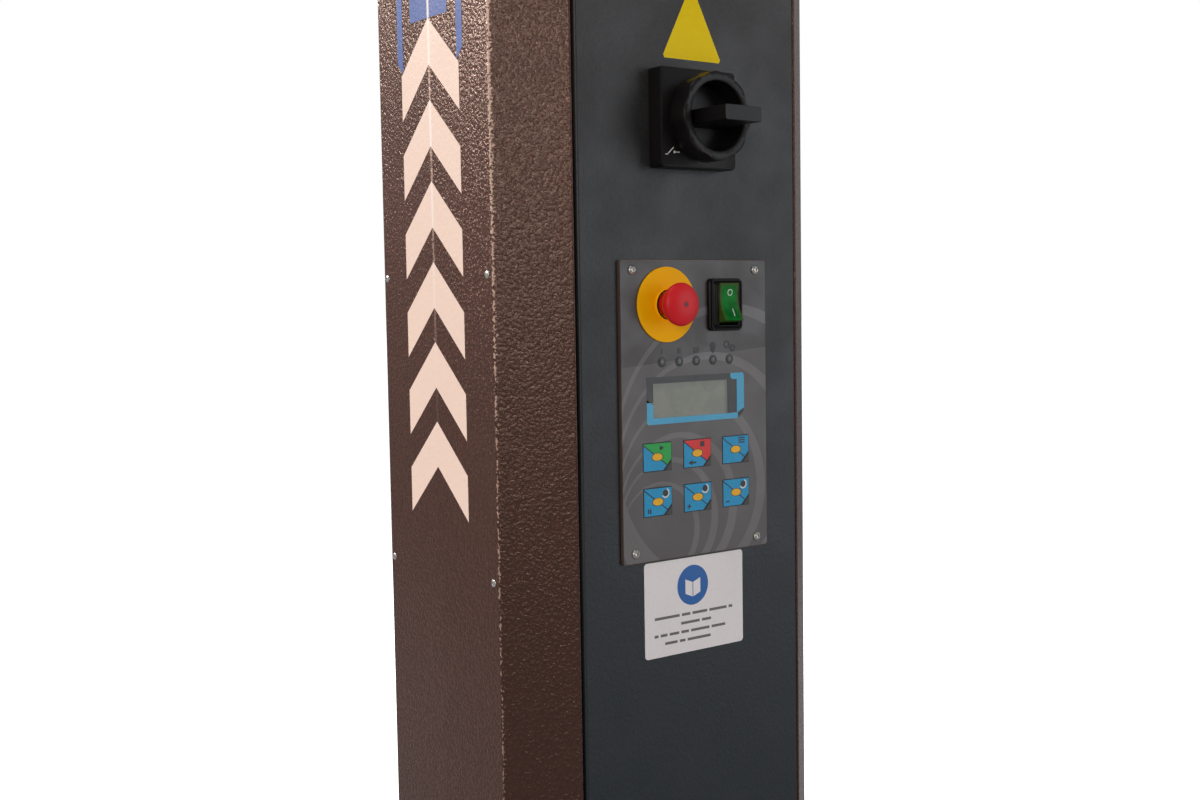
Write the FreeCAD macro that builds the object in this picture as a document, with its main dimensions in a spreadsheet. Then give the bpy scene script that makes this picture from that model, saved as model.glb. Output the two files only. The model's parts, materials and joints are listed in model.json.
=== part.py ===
"""Turntable pallet wrapper: a low turntable, a mast with its controls and a lifting film carriage.

Millimetres, +Z up. The origin is on the floor, on the turntable's spin axis. The mast stands on the
-Y side, its operator face looks towards -Y, and the film carriage runs on its +Y side.
"""
import FreeCAD, Part
import math
import os
import re
import Sketcher

document = FreeCAD.newDocument("pallet_wrapper")
sheet = document.addObject("Spreadsheet::Sheet", "Sizes")

# Every size that can be set by itself: its alias, its value and what it is.
SIZES = [
    ("table_radius", 750, "turntable, outer radius"),
    ("table_top", 80, "turntable, height of its upper face above the floor"),
    ("table_skin", 6, "turntable plate thickness"),
    ("rim_drop", 34, "height of the turntable's folded rim"),
    ("rim_wall", 4, "thickness of the rim"),
    ("track_radius", 590, "middle of the roller track under the turntable"),
    ("track_width", 60, "width of the roller track"),
    ("track_depth", 6, "thickness of the roller track"),
    ("rib_count", 8, "radial ribs under the turntable"),
    ("rib_width", 40, "width of a radial rib"),
    ("rib_depth", 20, "depth of a radial rib"),
    ("hub_radius", 140, "radius of the hub flange"),
    ("hub_depth", 10, "thickness of the hub flange"),
    ("sleeve_radius", 40, "outer radius of the hub sleeve"),
    ("spindle_radius", 25, "radius of the centre spindle"),
    ("spindle_flange", 70, "radius of the spindle's foot flange"),
    ("flange_depth", 10, "thickness of the spindle's foot flange"),
    ("running_gap", 0.05, "radial clearance of a shaft that turns in its bore"),
    ("moving_gap", 0.3, "clearance between pieces that move past each other"),
    ("roller_radius", 25, "radius of a support roller"),
    ("roller_width", 24, "width of a support roller"),
    ("roller_pin", 6, "radius of a support roller's pin"),
    ("ear_wall", 5, "thickness of a roller bracket's ear"),
    ("ear_width", 36, "width of a roller bracket's ear"),
    ("chain_pitch", 19.05, "pitch of the drive chain"),
    ("chain_roller", 6, "radius of the seat that a chain roller takes in a sprocket"),
    ("chain_width", 12, "height of a link plate across the run"),
    ("link_plate", 2, "thickness of a link plate"),
    ("table_teeth", 60, "teeth of the turntable's sprocket"),
    ("drive_teeth", 15, "teeth of the motor's sprocket"),
    ("tooth_rise", 4, "height of a tooth above the pitch circle"),
    ("sprocket_low", 34, "height of the sprockets' lower face"),
    ("sprocket_depth", 8, "thickness of a sprocket"),
    ("base_radius", 700, "radius of the base's round plate"),
    ("base_skin", 6, "thickness of the base plate"),
    ("lip_height", 26, "height of the base's round lip"),
    ("lip_wall", 8, "thickness of the lip"),
    ("tongue_width", 410, "width of the base's tongue under the mast"),
    ("tongue_height", 60, "height of the tongue's walls"),
    ("tongue_wall", 8, "thickness of the tongue's walls"),
    ("tongue_margin", 65, "length of the tongue past the operator face"),
    ("fork_width", 160, "outer width of a fork pocket"),
    ("fork_wall", 4, "wall of a fork pocket"),
    ("fork_reach", 50, "gap between the fork pockets' inner ends and the turntable's edge"),
    ("anchor_radius", 7, "radius of a floor anchor hole"),
    ("anchor_x", 320, "distance of the anchor holes across the tongue"),
    ("anchor_margin", 35, "distance of the outer anchor holes from the tongue's end"),
    ("anchor_y", 640, "distance of the anchor holes along the tongue"),
    ("cover_skin", 3, "thickness of the low cover over the chain"),
    ("cover_clear", 8, "gap between the low cover and the turntable's edge"),
    ("foot_depth", 12, "thickness of the mast's foot plate"),
    ("foot_margin", 30, "length of the foot plate past the mast, front and back"),
    ("bolt_radius", 6, "radius of a foot bolt"),
    ("bolt_head", 10, "radius of a foot bolt's head"),
    ("bolt_inset", 28, "distance of the foot bolts from the tongue's side"),
    ("bolt_margin", 14, "distance of the foot bolts from the foot plate's ends"),
    ("bolt_length", 30, "length of a foot bolt's shank below the foot plate"),
    ("pad_size", 40, "width of the pad under a foot bolt"),
    ("mast_distance", 1250, "spin axis to the mast's back face"),
    ("mast_depth", 215, "depth of the mast"),
    ("mast_width", 330, "width of the mast"),
    ("mast_top", 2284, "height of the mast's panels"),
    ("front_width", 229, "width of the operator face"),
    ("chamfer_depth", 42, "depth of the slanted corners beside the operator face"),
    ("front_gap", 1.6, "shadow gap beside the operator face"),
    ("panel_skin", 2, "sheet thickness of the mast's panels"),
    ("panel_bend", 3, "outer bend radius of the mast's panels"),
    ("panel_return", 20, "depth of the panels' folded edges"),
    ("front_return", 18, "depth of the operator panel's folded edges"),
    ("side_crown", 0.8, "outward crown of a side panel at its middle"),
    ("column_skin", 4, "sheet thickness of the mast column"),
    ("column_setback", 60, "operator face to the column's front flanges"),
    ("column_flange", 25, "width of the column's front flanges"),
    ("slot_width", 60, "width of the slot that the carriage's tongue runs in"),
    ("cap_gap", 1.2, "clearance between the cap's skirt and the panels"),
    ("cap_skin", 2, "sheet thickness of the mast's cap"),
    ("cap_skirt", 14, "height of the cap's skirt"),
    ("screw_pitch", 240, "vertical pitch of the side screws"),
    ("screw_rows", 9, "rows of side screws"),
    ("screw_low", 175, "height of the lowest side screws"),
    ("screw_front", 7.7, "front side screws, distance from the corner fold"),
    ("screw_back", 7, "back side screws, distance from the mast's back face"),
    ("screw_head", 3.1, "radius of a side screw's head"),
    ("screw_rise", 1.8, "height of a side screw's head"),
    ("screw_shank", 2, "radius of a side screw's shank"),
    ("screw_clear", 0.1, "radial clearance of a screw in its hole"),
    ("rail_offset", 115, "middle of a guide rail from the mast's middle"),
    ("rail_stem", 16, "width of a guide rail's stem"),
    ("rail_head", 38, "width of a guide rail's head"),
    ("stem_depth", 14, "height of a guide rail's stem"),
    ("head_depth", 10, "thickness of a guide rail's head"),
    ("rail_low", 100, "height of the guide rails' lower ends"),
    ("rail_high", 2262, "height of the guide rails' upper ends"),
    ("carriage_travel", 1500, "lift of the film carriage"),
    ("carriage_low", 120, "height of the lowered carriage's shelf"),
    ("carriage_height", 600, "height of the carriage"),
    ("carriage_width", 480, "width of the carriage"),
    ("carriage_depth", 305, "depth of the carriage's shelf from its back plate"),
    ("carriage_stand", 35, "mast's back face to the carriage's back plate"),
    ("carriage_skin", 5, "thickness of the carriage's back plate and side"),
    ("shelf_skin", 8, "thickness of the carriage's shelf and roof"),
    ("roof_start", 50, "where the roof begins, from the carriage's middle"),
    ("shoe_width", 26, "width of a slide shoe"),
    ("shoe_height", 40, "height of a slide shoe"),
    ("shoe_inset", 30, "distance of the slide shoes from the carriage's ends"),
    ("shoe_gap", 0.4, "clearance of a slide shoe on its rail"),
    ("tongue_block", 44, "width of the block that clamps the belt"),
    ("clamp_height", 80, "height of the belt clamp"),
    ("clamp_middle", 600, "height of the belt clamp's middle, carriage lowered"),
    ("clamp_jaw", 8, "depth of the jaw behind the belt"),
    ("belt_width", 25, "width of the lift belt"),
    ("belt_depth", 3, "thickness of the lift belt"),
    ("belt_setback", 52, "mast's back face to the pulleys' axes"),
    ("pulley_radius", 30, "radius of the belt pulleys"),
    ("pulley_width", 28, "width of the belt pulleys"),
    ("pulley_flange", 2, "height and thickness of a pulley's flanges"),
    ("pulley_low", 420, "height of the idler pulley's axis"),
    ("pulley_high", 2200, "height of the lift pulley's axis"),
    ("lift_shaft", 12, "radius of the lift shaft"),
    ("idler_pin", 6, "radius of the idler pulley's pin"),
    ("motor_radius", 52, "radius of both motors"),
    ("motor_length", 180, "length of both motors"),
    ("gearbox_width", 100, "width of both gearboxes"),
    ("gearbox_height", 80, "height of both gearboxes"),
    ("drive_shaft", 10, "radius of the turntable motor's shaft"),
    ("drive_setback", 92, "mast's back face to the turntable motor's shaft"),
    ("reel_x", -110, "film spindle, from the carriage's middle"),
    ("reel_y", 170, "film spindle, from the carriage's back plate"),
    ("reel_spindle", 14, "radius of the film spindle"),
    ("core_radius", 37, "radius of the mandrel that takes the film's core"),
    ("core_wall", 4, "wall of the mandrel"),
    ("core_height", 516, "height of the mandrel"),
    ("core_plate", 70, "radius of the plate that the film stands on"),
    ("brake_x", 125, "rubber roller, from the carriage's middle"),
    ("brake_y", 95, "rubber roller, from the carriage's back plate"),
    ("brake_radius", 32, "radius of the rubber roller"),
    ("idle_x", 190, "steel roller, from the carriage's middle"),
    ("idle_y", 205, "steel roller, from the carriage's back plate"),
    ("idle_radius", 22, "radius of the steel roller"),
    ("roller_shaft", 8, "radius of both rollers' shafts"),
    ("roller_inset", 22, "gap between the rollers and the shelf or roof"),
    ("brake_housing", 40, "radius of the film brake's housing"),
    ("housing_height", 40, "height of the film brake's housing"),
    ("knob_radius", 26, "radius of the film brake's knob"),
    ("knob_height", 24, "height of the film brake's knob"),
    ("plate_width", 155, "width of the control plate"),
    ("plate_height", 240, "height of the control plate"),
    ("plate_top", 1385, "height of the control plate's upper edge"),
    ("plate_skin", 2.4, "thickness of the control plate"),
    ("overlay_skin", 0.6, "thickness of the overlay on the control plate"),
    ("cutout_width", 120, "width of the opening behind the control plate"),
    ("cutout_height", 208, "height of the opening behind the control plate"),
    ("plate_screw_x", 130.4, "distance of the plate's screws, side to side"),
    ("plate_screw_inset", 8, "distance of the plate's screws from its ends"),
    ("plate_screw_head", 3.75, "radius of a plate screw's head"),
    ("plate_screw_rise", 2.2, "height of a plate screw's head"),
    ("window_width", 84, "width of the display window"),
    ("window_height", 33, "height of the display window"),
    ("window_x", -4.2, "middle of the window from the plate's middle"),
    ("window_drop", 111.7, "middle of the window below the plate's upper edge"),
    ("window_skin", 2.1, "thickness of the window"),
    ("lamp_drop", 81.2, "signal lamps, below the plate's upper edge"),
    ("lamp_pitch", 18, "pitch of the signal lamps"),
    ("lamp_radius", 2.5, "radius of a signal lamp"),
    ("lamp_rise", 0.4, "height of a signal lamp above the overlay"),
    ("key_width", 29, "width of a key"),
    ("key_height", 22.5, "height of a key"),
    ("key_column", 42, "pitch of the keys' columns"),
    ("key_row", 36, "pitch of the keys' rows"),
    ("key_drop", 156.5, "middle of the upper keys below the plate's upper edge"),
    ("key_rise", 0.3, "height of a key above the overlay"),
    ("key_lip", 1.4, "width of the lip that holds a key behind the plate"),
    ("board_gap", 10, "control plate's back to the circuit board"),
    ("board_skin", 1.6, "thickness of the circuit board"),
    ("stop_x", -31, "emergency stop, from the plate's middle"),
    ("stop_drop", 35.4, "emergency stop, below the plate's upper edge"),
    ("stop_disc", 30, "radius of the emergency stop's disc"),
    ("disc_skin", 1.6, "thickness of the disc"),
    ("stop_collar", 12, "radius of the emergency stop's collar"),
    ("collar_rise", 2.4, "height of the collar above the disc"),
    ("collar_bore", 11, "radius of the recess in the collar"),
    ("collar_floor", 1, "height of the recess's floor above the disc"),
    ("barrel_bore", 9.9, "radius of the hollow in the barrel, which the red head's neck sinks into"),
    ("stop_barrel", 11, "radius of the barrel through the plate"),
    ("stop_head", 17.25, "radius of the red head"),
    ("stop_reach", 28, "front of the red head before the operator face"),
    ("stop_neck", 9.4, "radius of the red head's neck"),
    ("stop_stem", 5, "radius of the stem"),
    ("stop_stroke", 5, "stroke of the emergency stop"),
    ("stop_block", 34, "width of the emergency stop's contact block"),
    ("rocker_x", 30.6, "rocker switch, from the plate's middle"),
    ("rocker_drop", 36.3, "rocker switch, below the plate's upper edge"),
    ("boot_width", 36, "width of the rocker's boot"),
    ("boot_height", 42.7, "height of the rocker's boot"),
    ("boot_rise", 6, "height of the boot above the overlay"),
    ("rocker_width", 20, "width of the rocker's cap"),
    ("rocker_height", 31, "height of the rocker's cap"),
    ("rocker_rise", 13.5, "reach of the cap's ends before its pivot"),
    ("rocker_dip", 3.5, "depth of the dip in the cap's middle"),
    ("rocker_tilt", 10, "tilt of the cap each way, in degrees"),
    ("switch_x", -4.5, "main switch, from the mast's middle"),
    ("switch_lift", 111, "main switch, above the control plate's upper edge"),
    ("switch_plate", 76, "width of the main switch's plate"),
    ("switch_rise", 13, "thickness of the main switch's plate"),
    ("cup_radius", 33, "radius of the handle's cup"),
    ("cup_bore", 27, "inner radius of the cup"),
    ("cup_reach", 36, "front of the cup before the operator face"),
    ("bar_length", 37, "length of the handle's bar"),
    ("bar_width", 13, "thickness of the handle's bar"),
    ("bar_reach", 64, "front of the bar before the operator face"),
    ("switch_shaft", 5, "radius of the main switch's shaft"),
    ("panel_setback", 95, "operator face to the electrical mounting plate"),
    ("inverter_width", 80, "width of a motor inverter"),
    ("inverter_height", 150, "height of a motor inverter"),
    ("inverter_depth", 80, "depth of a motor inverter"),
    ("gland_x", 120, "cable gland, from the mast's middle"),
    ("gland_height", 34, "height of the cable gland"),
    ("gland_thread", 10, "radius of the gland's thread"),
    ("gland_bore", 5, "radius of the gland's bore"),
]
for row, (alias, number, meaning) in enumerate(SIZES, start=1):
    sheet.set("A%d" % row, meaning)
    sheet.set("B%d" % row, str(number))
    sheet.setAlias("B%d" % row, alias)
document.recompute()

ROLLER_COUNT = 4  # support rollers, each one a piece of its own

# Places that several pieces share, worked out from the sizes.
PLACES = {
    "front_y": "-mast_distance - mast_depth",
    "back_y": "-mast_distance",
    "chamfer_run": "(mast_width - front_width)/2 - front_gap",
    "chamfer_length": "sqrt(chamfer_run^2 + chamfer_depth^2)",
    "side_x": "mast_width/2",
    "panel_x": "front_width/2 + front_gap",
    "fold_y": "front_y + chamfer_depth",
    "column_x": "mast_width/2 - panel_skin",
    "web_y": "back_y - panel_skin",
    "web_inner": "web_y - column_skin",
    "foot_top": "tongue_height + foot_depth",
    "table_under": "table_top - table_skin",
    "track_under": "table_under - track_depth",
    "roller_z": "track_under - moving_gap - roller_radius",
    "tongue_end": "mast_distance + mast_depth + tongue_margin",
    "drive_y": "-mast_distance - drive_setback",
    "belt_y": "-mast_distance - belt_setback",
    "belt_inner": "pulley_radius + moving_gap",
    "belt_outer": "belt_inner + belt_depth",
    "plate_middle": "plate_top - plate_height/2",
    "overlay_front": "plate_skin + overlay_skin",
    "bolt_x": "tongue_width/2 - bolt_inset",
    "bolt_near": "back_y + foot_margin - bolt_margin",
    "bolt_far": "front_y - foot_margin + bolt_margin",
    "stop_z": "plate_height/2 - stop_drop",
    "rocker_z": "plate_height/2 - rocker_drop",
    "window_z": "plate_height/2 - window_drop",
    "lamp_z": "plate_height/2 - lamp_drop",
    "key_z": "plate_height/2 - key_drop",
    "plate_screw_z": "plate_height/2 - plate_screw_inset",
    "switch_z": "plate_top + switch_lift",
    "collar_front": "overlay_front + disc_skin + collar_rise",
    "carriage_back": "back_y + carriage_stand",
    "carriage_face": "carriage_back + carriage_skin",
    "shelf_top": "carriage_low + shelf_skin",
    "carriage_top": "carriage_low + carriage_height",
    "roof_low": "carriage_top - shelf_skin",
    "head_near": "back_y + stem_depth",
    "head_far": "back_y + stem_depth + head_depth",
    "head_edge": "rail_offset + rail_head/2",
    "core_low": "shelf_top + 10",
    "slot_low": "clamp_middle - clamp_height/2 - 10",
    "slot_high": "clamp_middle + clamp_height/2 + 10 + carriage_travel",
}
NAME = re.compile(r"\b[a-z]+(?:_[a-z]+)+\b")


def bind(text):
    """Expression text in which places are spelled out and sizes point at the sheet."""
    def spell(match):
        name = match.group(0)
        if name in PLACES:
            return "(" + bind(PLACES[name]) + ")"
        return "Sizes." + name
    return NAME.sub(spell, str(text))


def value(text):
    """What an expression comes to, in millimetres."""
    return float(sheet.evalExpression(bind(text)))


def put(piece, x="0", y="0", z="0"):
    """Bind a piece's place to the sheet."""
    piece.setExpression("Placement.Base.x", bind(x))
    piece.setExpression("Placement.Base.y", bind(y))
    piece.setExpression("Placement.Base.z", bind(z))


# ---- sketches and features of a body -------------------------------------------------------------

def body_named(name, x="0", y="0", z="0"):
    body = document.addObject("PartDesign::Body", name)
    body.Label = name
    put(body, x, y, z)
    return body


def plane(body, role):
    return [item for item in body.Origin.OriginFeatures if item.Role == role][0]


def sketch_on(body, role, offset="0", x="0", y="0"):
    """A sketch on one of the body's planes, moved along its normal and, if asked, in its plane."""
    sketch = body.newObject("Sketcher::SketchObject", body.Label + "_sketch")
    sketch.AttachmentSupport = [(plane(body, role), "")]
    sketch.MapMode = "FlatFace"
    sketch.setExpression("AttachmentOffset.Base.x", bind(x))
    sketch.setExpression("AttachmentOffset.Base.y", bind(y))
    sketch.setExpression("AttachmentOffset.Base.z", bind(offset))
    return sketch


def fix(sketch, kind, first, second, text):
    """A distance constraint bound to the sheet."""
    number = sketch.addConstraint(Sketcher.Constraint(kind, *first, *second, value(text)))
    sketch.setExpression("Constraints[%d]" % number, bind(text))


def outline(sketch, points):
    """A closed outline of straight lines whose corners are bound to the sheet."""
    corners = [FreeCAD.Vector(value(x), value(y), 0) for x, y in points]
    first = sketch.GeometryCount
    count = len(points)
    for index in range(count):
        line = Part.LineSegment(corners[index], corners[(index + 1) % count])
        sketch.addGeometry(line)
    for index in range(count):
        following = first + (index + 1) % count
        sketch.addConstraint(Sketcher.Constraint("Coincident", first + index, 2, following, 1))
    for index, (x, y) in enumerate(points):
        fix(sketch, "DistanceX", (-1, 1), (first + index, 1), x)
        fix(sketch, "DistanceY", (-1, 1), (first + index, 1), y)


def rectangle(sketch, low_x, low_y, high_x, high_y):
    outline(sketch, [(low_x, low_y), (high_x, low_y), (high_x, high_y), (low_x, high_y)])


def circle(sketch, x, y, radius):
    centre = FreeCAD.Vector(value(x), value(y), 0)
    number = sketch.addGeometry(Part.Circle(centre, FreeCAD.Vector(0, 0, 1), value(radius)))
    fix(sketch, "DistanceX", (-1, 1), (number, 3), x)
    fix(sketch, "DistanceY", (-1, 1), (number, 3), y)
    constraint = sketch.addConstraint(Sketcher.Constraint("Radius", number, value(radius)))
    sketch.setExpression("Constraints[%d]" % constraint, bind(radius))


def pad(body, sketch, length, backwards=False):
    feature = body.newObject("PartDesign::Pad", body.Label + "_pad")
    feature.Profile = sketch
    feature.setExpression("Length", bind(length))
    feature.Reversed = backwards
    body.Tip = feature
    document.recompute()
    return feature


def pocket(body, sketch, length=None, backwards=False):
    """A cut to a depth, or through everything, that has to take material away."""
    before = body.Shape.Volume
    feature = body.newObject("PartDesign::Pocket", body.Label + "_pocket")
    feature.Profile = sketch
    if length is None:
        feature.Type = "ThroughAll"
    else:
        feature.setExpression("Length", bind(length))
    feature.Reversed = backwards
    body.Tip = feature
    document.recompute()
    if body.Shape.Volume >= before:
        raise ValueError(body.Label + ": a pocket cuts nothing")
    return feature


def turn(body, sketch, axis="V_Axis"):
    feature = body.newObject("PartDesign::Revolution", body.Label + "_turn")
    feature.Profile = sketch
    feature.ReferenceAxis = (sketch, [axis])
    feature.Angle = 360
    body.Tip = feature
    document.recompute()
    return feature


def row_of(body, features, sketch, axis, pitch, count):
    feature = body.newObject("PartDesign::LinearPattern", body.Label + "_row")
    feature.Originals = features
    feature.Direction = (sketch, [axis])
    feature.setExpression("Length", bind("(%s)*(%s - 1)" % (pitch, count)))
    feature.setExpression("Occurrences", bind(count))
    body.Tip = feature
    document.recompute()
    return feature


def ring_of(body, features, sketch, count):
    feature = body.newObject("PartDesign::PolarPattern", body.Label + "_ring")
    feature.Originals = features
    feature.Axis = (sketch, ["N_Axis"])
    feature.Angle = 360
    feature.setExpression("Occurrences", bind(count))
    body.Tip = feature
    document.recompute()
    return feature


def mirrored(body, features, role="YZ_Plane"):
    feature = body.newObject("PartDesign::Mirrored", body.Label + "_mirror")
    feature.Originals = features
    feature.MirrorPlane = (plane(body, role), [""])
    body.Tip = feature
    document.recompute()
    return feature


def rounded(body, radius, wanted):
    """Fillet the edges of the body's tip that wanted(edge) picks."""
    base = body.Tip
    names = ["Edge%d" % number for number, edge in enumerate(base.Shape.Edges, 1) if wanted(edge)]
    feature = body.newObject("PartDesign::Fillet", body.Label + "_round")
    feature.Base = (base, names)
    feature.setExpression("Radius", bind(radius))
    body.Tip = feature
    document.recompute()
    return feature


def stands_at(x, y):
    """Picks the upright edges at a place, in the body's own frame."""
    place = FreeCAD.Vector(value(x), value(y), 0)

    def wanted(edge):
        ends = [vertex.Point for vertex in edge.Vertexes]
        near = all(abs(end.x - place.x) < 0.01 and abs(end.y - place.y) < 0.01 for end in ends)
        return near and len(ends) == 2 and abs(ends[0].z - ends[1].z) > 1
    return wanted


def any_of(*tests):
    return lambda edge: any(test(edge) for test in tests)


def mirror_image(body):
    """The same body on the other side of the mast's middle."""
    other = document.addObject("Part::Mirroring", body.Label + "_mirrored")
    other.Source = body
    other.Normal = FreeCAD.Vector(1, 0, 0)
    return other


def joined(name, *pieces):
    """One sub-part made of several pieces that touch or match each other."""
    whole = document.addObject("Part::Compound", name)
    whole.Label = name
    whole.Links = list(pieces)
    return whole


def both_sides(name, body):
    """One sub-part made of a body and its mirror image on the other side of the mast's middle."""
    return joined(name, body, mirror_image(body))


# ---- the base ------------------------------------------------------------------------------------

def make_base_frame():
    """Flat plate, round lip, tongue walls with their bolt pads, and fork pockets, welded to each other."""
    plate = body_named("base_plate")
    floor = sketch_on(plate, "XY_Plane")
    circle(floor, "0", "0", "base_radius")
    pad(plate, floor, "base_skin")
    tongue = sketch_on(plate, "XY_Plane")
    rectangle(tongue, "-tongue_width/2", "-tongue_end", "tongue_width/2", "-base_radius/2")
    pad(plate, tongue, "base_skin")
    holes = sketch_on(plate, "XY_Plane")
    for side in ("-", ""):
        for middle in ("bolt_near", "bolt_far"):
            circle(holes, side + "bolt_x", middle, "bolt_radius + screw_clear")
        for middle in ("-tongue_end + anchor_margin", "-tongue_end + anchor_margin + anchor_y"):
            circle(holes, side + "anchor_x/2", middle, "anchor_radius")
    pocket(plate, holes, "base_skin", True)
    lip = body_named("base_lip")
    ring = sketch_on(lip, "XY_Plane", "base_skin")
    circle(ring, "0", "0", "base_radius")
    circle(ring, "0", "0", "base_radius - lip_wall")
    pad(lip, ring, "lip_height - base_skin")
    walls = make_tongue_walls()
    pocket_right = body_named("fork_pocket")
    section = sketch_on(pocket_right, "XZ_Plane", "table_radius + fork_reach")
    low = "tongue_width/2"
    high = "(tongue_width/2 + fork_width)"
    rectangle(section, low, "0", high, "tongue_height")
    rectangle(section, low + " + fork_wall", "fork_wall",
              high + " - fork_wall", "tongue_height - fork_wall")
    pad(pocket_right, section, "tongue_end - table_radius - fork_reach")
    joined("base_frame", plate, lip, walls, pocket_right, mirror_image(pocket_right))


def make_tongue_walls():
    """Side and end walls of the tongue, with the pads that the foot bolts go into."""
    body = body_named("tongue_walls")
    height = "tongue_height - base_skin"
    sides = sketch_on(body, "XY_Plane", "base_skin")
    inner = "(tongue_width/2 - tongue_wall)"
    near = "-table_radius - cover_clear"
    rectangle(sides, inner, "-tongue_end", "tongue_width/2", near)
    rectangle(sides, "-tongue_width/2", "-tongue_end", "-" + inner, near)
    pad(body, sides, height)
    end = sketch_on(body, "XY_Plane", "base_skin")
    rectangle(end, "-tongue_width/2", "-tongue_end", "tongue_width/2", "-tongue_end + tongue_wall")
    pad(body, end, height)
    for middle in ("bolt_near", "bolt_far"):
        pads = sketch_on(body, "XY_Plane", "base_skin")
        for side in ("-", ""):
            edges = sorted((side + "(bolt_x - pad_size/2)", side + inner), key=value)
            rectangle(pads, edges[0], middle + " - pad_size/2", edges[1], middle + " + pad_size/2")
        pad(body, pads, height)
    bolts = sketch_on(body, "XY_Plane", "base_skin")
    for side in ("-", ""):
        for middle in ("bolt_near", "bolt_far"):
            circle(bolts, side + "bolt_x", middle, "bolt_radius + screw_clear")
    pocket(body, bolts, None, True)
    gland = sketch_on(body, "XZ_Plane", "tongue_end")
    circle(gland, "gland_x", "gland_height", "gland_thread + screw_clear")
    pocket(body, gland, "tongue_wall")
    return body


def make_base_cover():
    """Low cover over the chain, cut back round the turntable's edge and the mast's foot."""
    body = body_named("base_cover")
    top = sketch_on(body, "XY_Plane", "tongue_height")
    half = "(tongue_width/2 + fork_width)"
    rectangle(top, "-" + half, "back_y + foot_margin", half, "-table_radius/2")
    pad(body, top, "cover_skin")
    clear = sketch_on(body, "XY_Plane", "tongue_height")
    circle(clear, "0", "0", "table_radius + cover_clear")
    pocket(body, clear, None, True)


def make_spindle():
    body = body_named("center_spindle")
    profile = sketch_on(body, "XZ_Plane")
    outline(profile, [("0", "base_skin"), ("spindle_flange", "base_skin"),
                      ("spindle_flange", "base_skin + flange_depth"),
                      ("spindle_radius", "base_skin + flange_depth"),
                      ("spindle_radius", "table_under - moving_gap"), ("0", "table_under - moving_gap")])
    turn(body, profile)


def make_roller_brackets():
    """A foot, two ears and a pin for each support roller, all the same."""
    body = body_named("roller_brackets")
    spread = "(roller_width/2 + 1 + ear_wall)"
    foot = sketch_on(body, "XY_Plane", "base_skin")
    rectangle(foot, "track_radius - " + spread, "-ear_width/2", "track_radius + " + spread, "ear_width/2")
    features = [pad(body, foot, "ear_wall")]
    for low in ("track_radius - " + spread, "track_radius + " + spread + " - ear_wall"):
        ear = sketch_on(body, "XY_Plane", "base_skin")
        rectangle(ear, low, "-ear_width/2", low + " + ear_wall", "ear_width/2")
        features.append(pad(body, ear, "roller_z + roller_pin*2 - base_skin"))
    pin = sketch_on(body, "YZ_Plane", "track_radius - " + spread)
    circle(pin, "0", "roller_z", "roller_pin")
    features.append(pad(body, pin, "2*" + spread))
    ring_of(body, features, foot, str(ROLLER_COUNT))


def make_support_roller(number):
    """A roller that turns on its pin, in line with the turntable's radius."""
    body = body_named("support_roller_%d" % number)
    turned = FreeCAD.Rotation(FreeCAD.Vector(0, 0, 1), 360 / ROLLER_COUNT * (number - 1))
    body.Placement = FreeCAD.Placement(FreeCAD.Vector(0, 0, 0), turned)
    face = sketch_on(body, "YZ_Plane", "track_radius - roller_width/2")
    circle(face, "0", "roller_z", "roller_radius")
    circle(face, "0", "roller_z", "roller_pin + running_gap")
    pad(body, face, "roller_width")


# ---- the turntable and its drive -----------------------------------------------------------------

def make_turntable_plate():
    """Flat round plate with a rim welded under its edge."""
    disc = body_named("table_disc")
    profile = sketch_on(disc, "XZ_Plane")
    outline(profile, [("0", "table_under"), ("table_radius", "table_under"),
                      ("table_radius", "table_top - table_skin/2"),
                      ("table_radius - table_skin/2", "table_top"), ("0", "table_top")])
    turn(disc, profile)
    rim = body_named("table_rim")
    ring = sketch_on(rim, "XY_Plane", "table_under")
    circle(ring, "0", "0", "table_radius")
    circle(ring, "0", "0", "table_radius - rim_wall")
    pad(rim, ring, "table_under - table_top + rim_drop", True)
    joined("turntable_plate", disc, rim)


def make_turntable_frame():
    """Hub with its sleeve, roller track and radial ribs, welded under the plate."""
    hub = body_named("table_hub")
    flange = sketch_on(hub, "XY_Plane", "table_under")
    circle(flange, "0", "0", "hub_radius")
    pad(hub, flange, "hub_depth", True)
    sleeve = sketch_on(hub, "XY_Plane", "table_under")
    circle(sleeve, "0", "0", "sleeve_radius")
    pad(hub, sleeve, "table_under - base_skin - flange_depth - moving_gap", True)
    bore = sketch_on(hub, "XY_Plane", "table_under")
    circle(bore, "0", "0", "spindle_radius + running_gap")
    pocket(hub, bore)
    track = body_named("table_track")
    ring = sketch_on(track, "XY_Plane", "table_under")
    circle(ring, "0", "0", "track_radius + track_width/2")
    circle(ring, "0", "0", "track_radius - track_width/2")
    pad(track, ring, "track_depth", True)
    ribs = body_named("table_ribs")
    bar = sketch_on(ribs, "XY_Plane", "table_under")
    rectangle(bar, "hub_radius - rib_width", "-rib_width/2", "table_radius - rim_wall - 2", "rib_width/2")
    rib = pad(ribs, bar, "rib_depth", True)
    ring_of(ribs, [rib], bar, "rib_count")
    clear = sketch_on(ribs, "XY_Plane", "table_under")
    circle(clear, "0", "0", "hub_radius")
    pocket(ribs, clear, "rib_depth")
    clear = sketch_on(ribs, "XY_Plane", "table_under")
    circle(clear, "0", "0", "track_radius + track_width/2")
    circle(clear, "0", "0", "track_radius - track_width/2")
    pocket(ribs, clear, "rib_depth")
    joined("turntable_frame", hub, track, ribs)


def pitch_radius(teeth):
    """Radius of a sprocket's pitch circle, as expression text."""
    return "chain_pitch/(2*%.12f)" % math.sin(math.pi / value(teeth))


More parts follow.
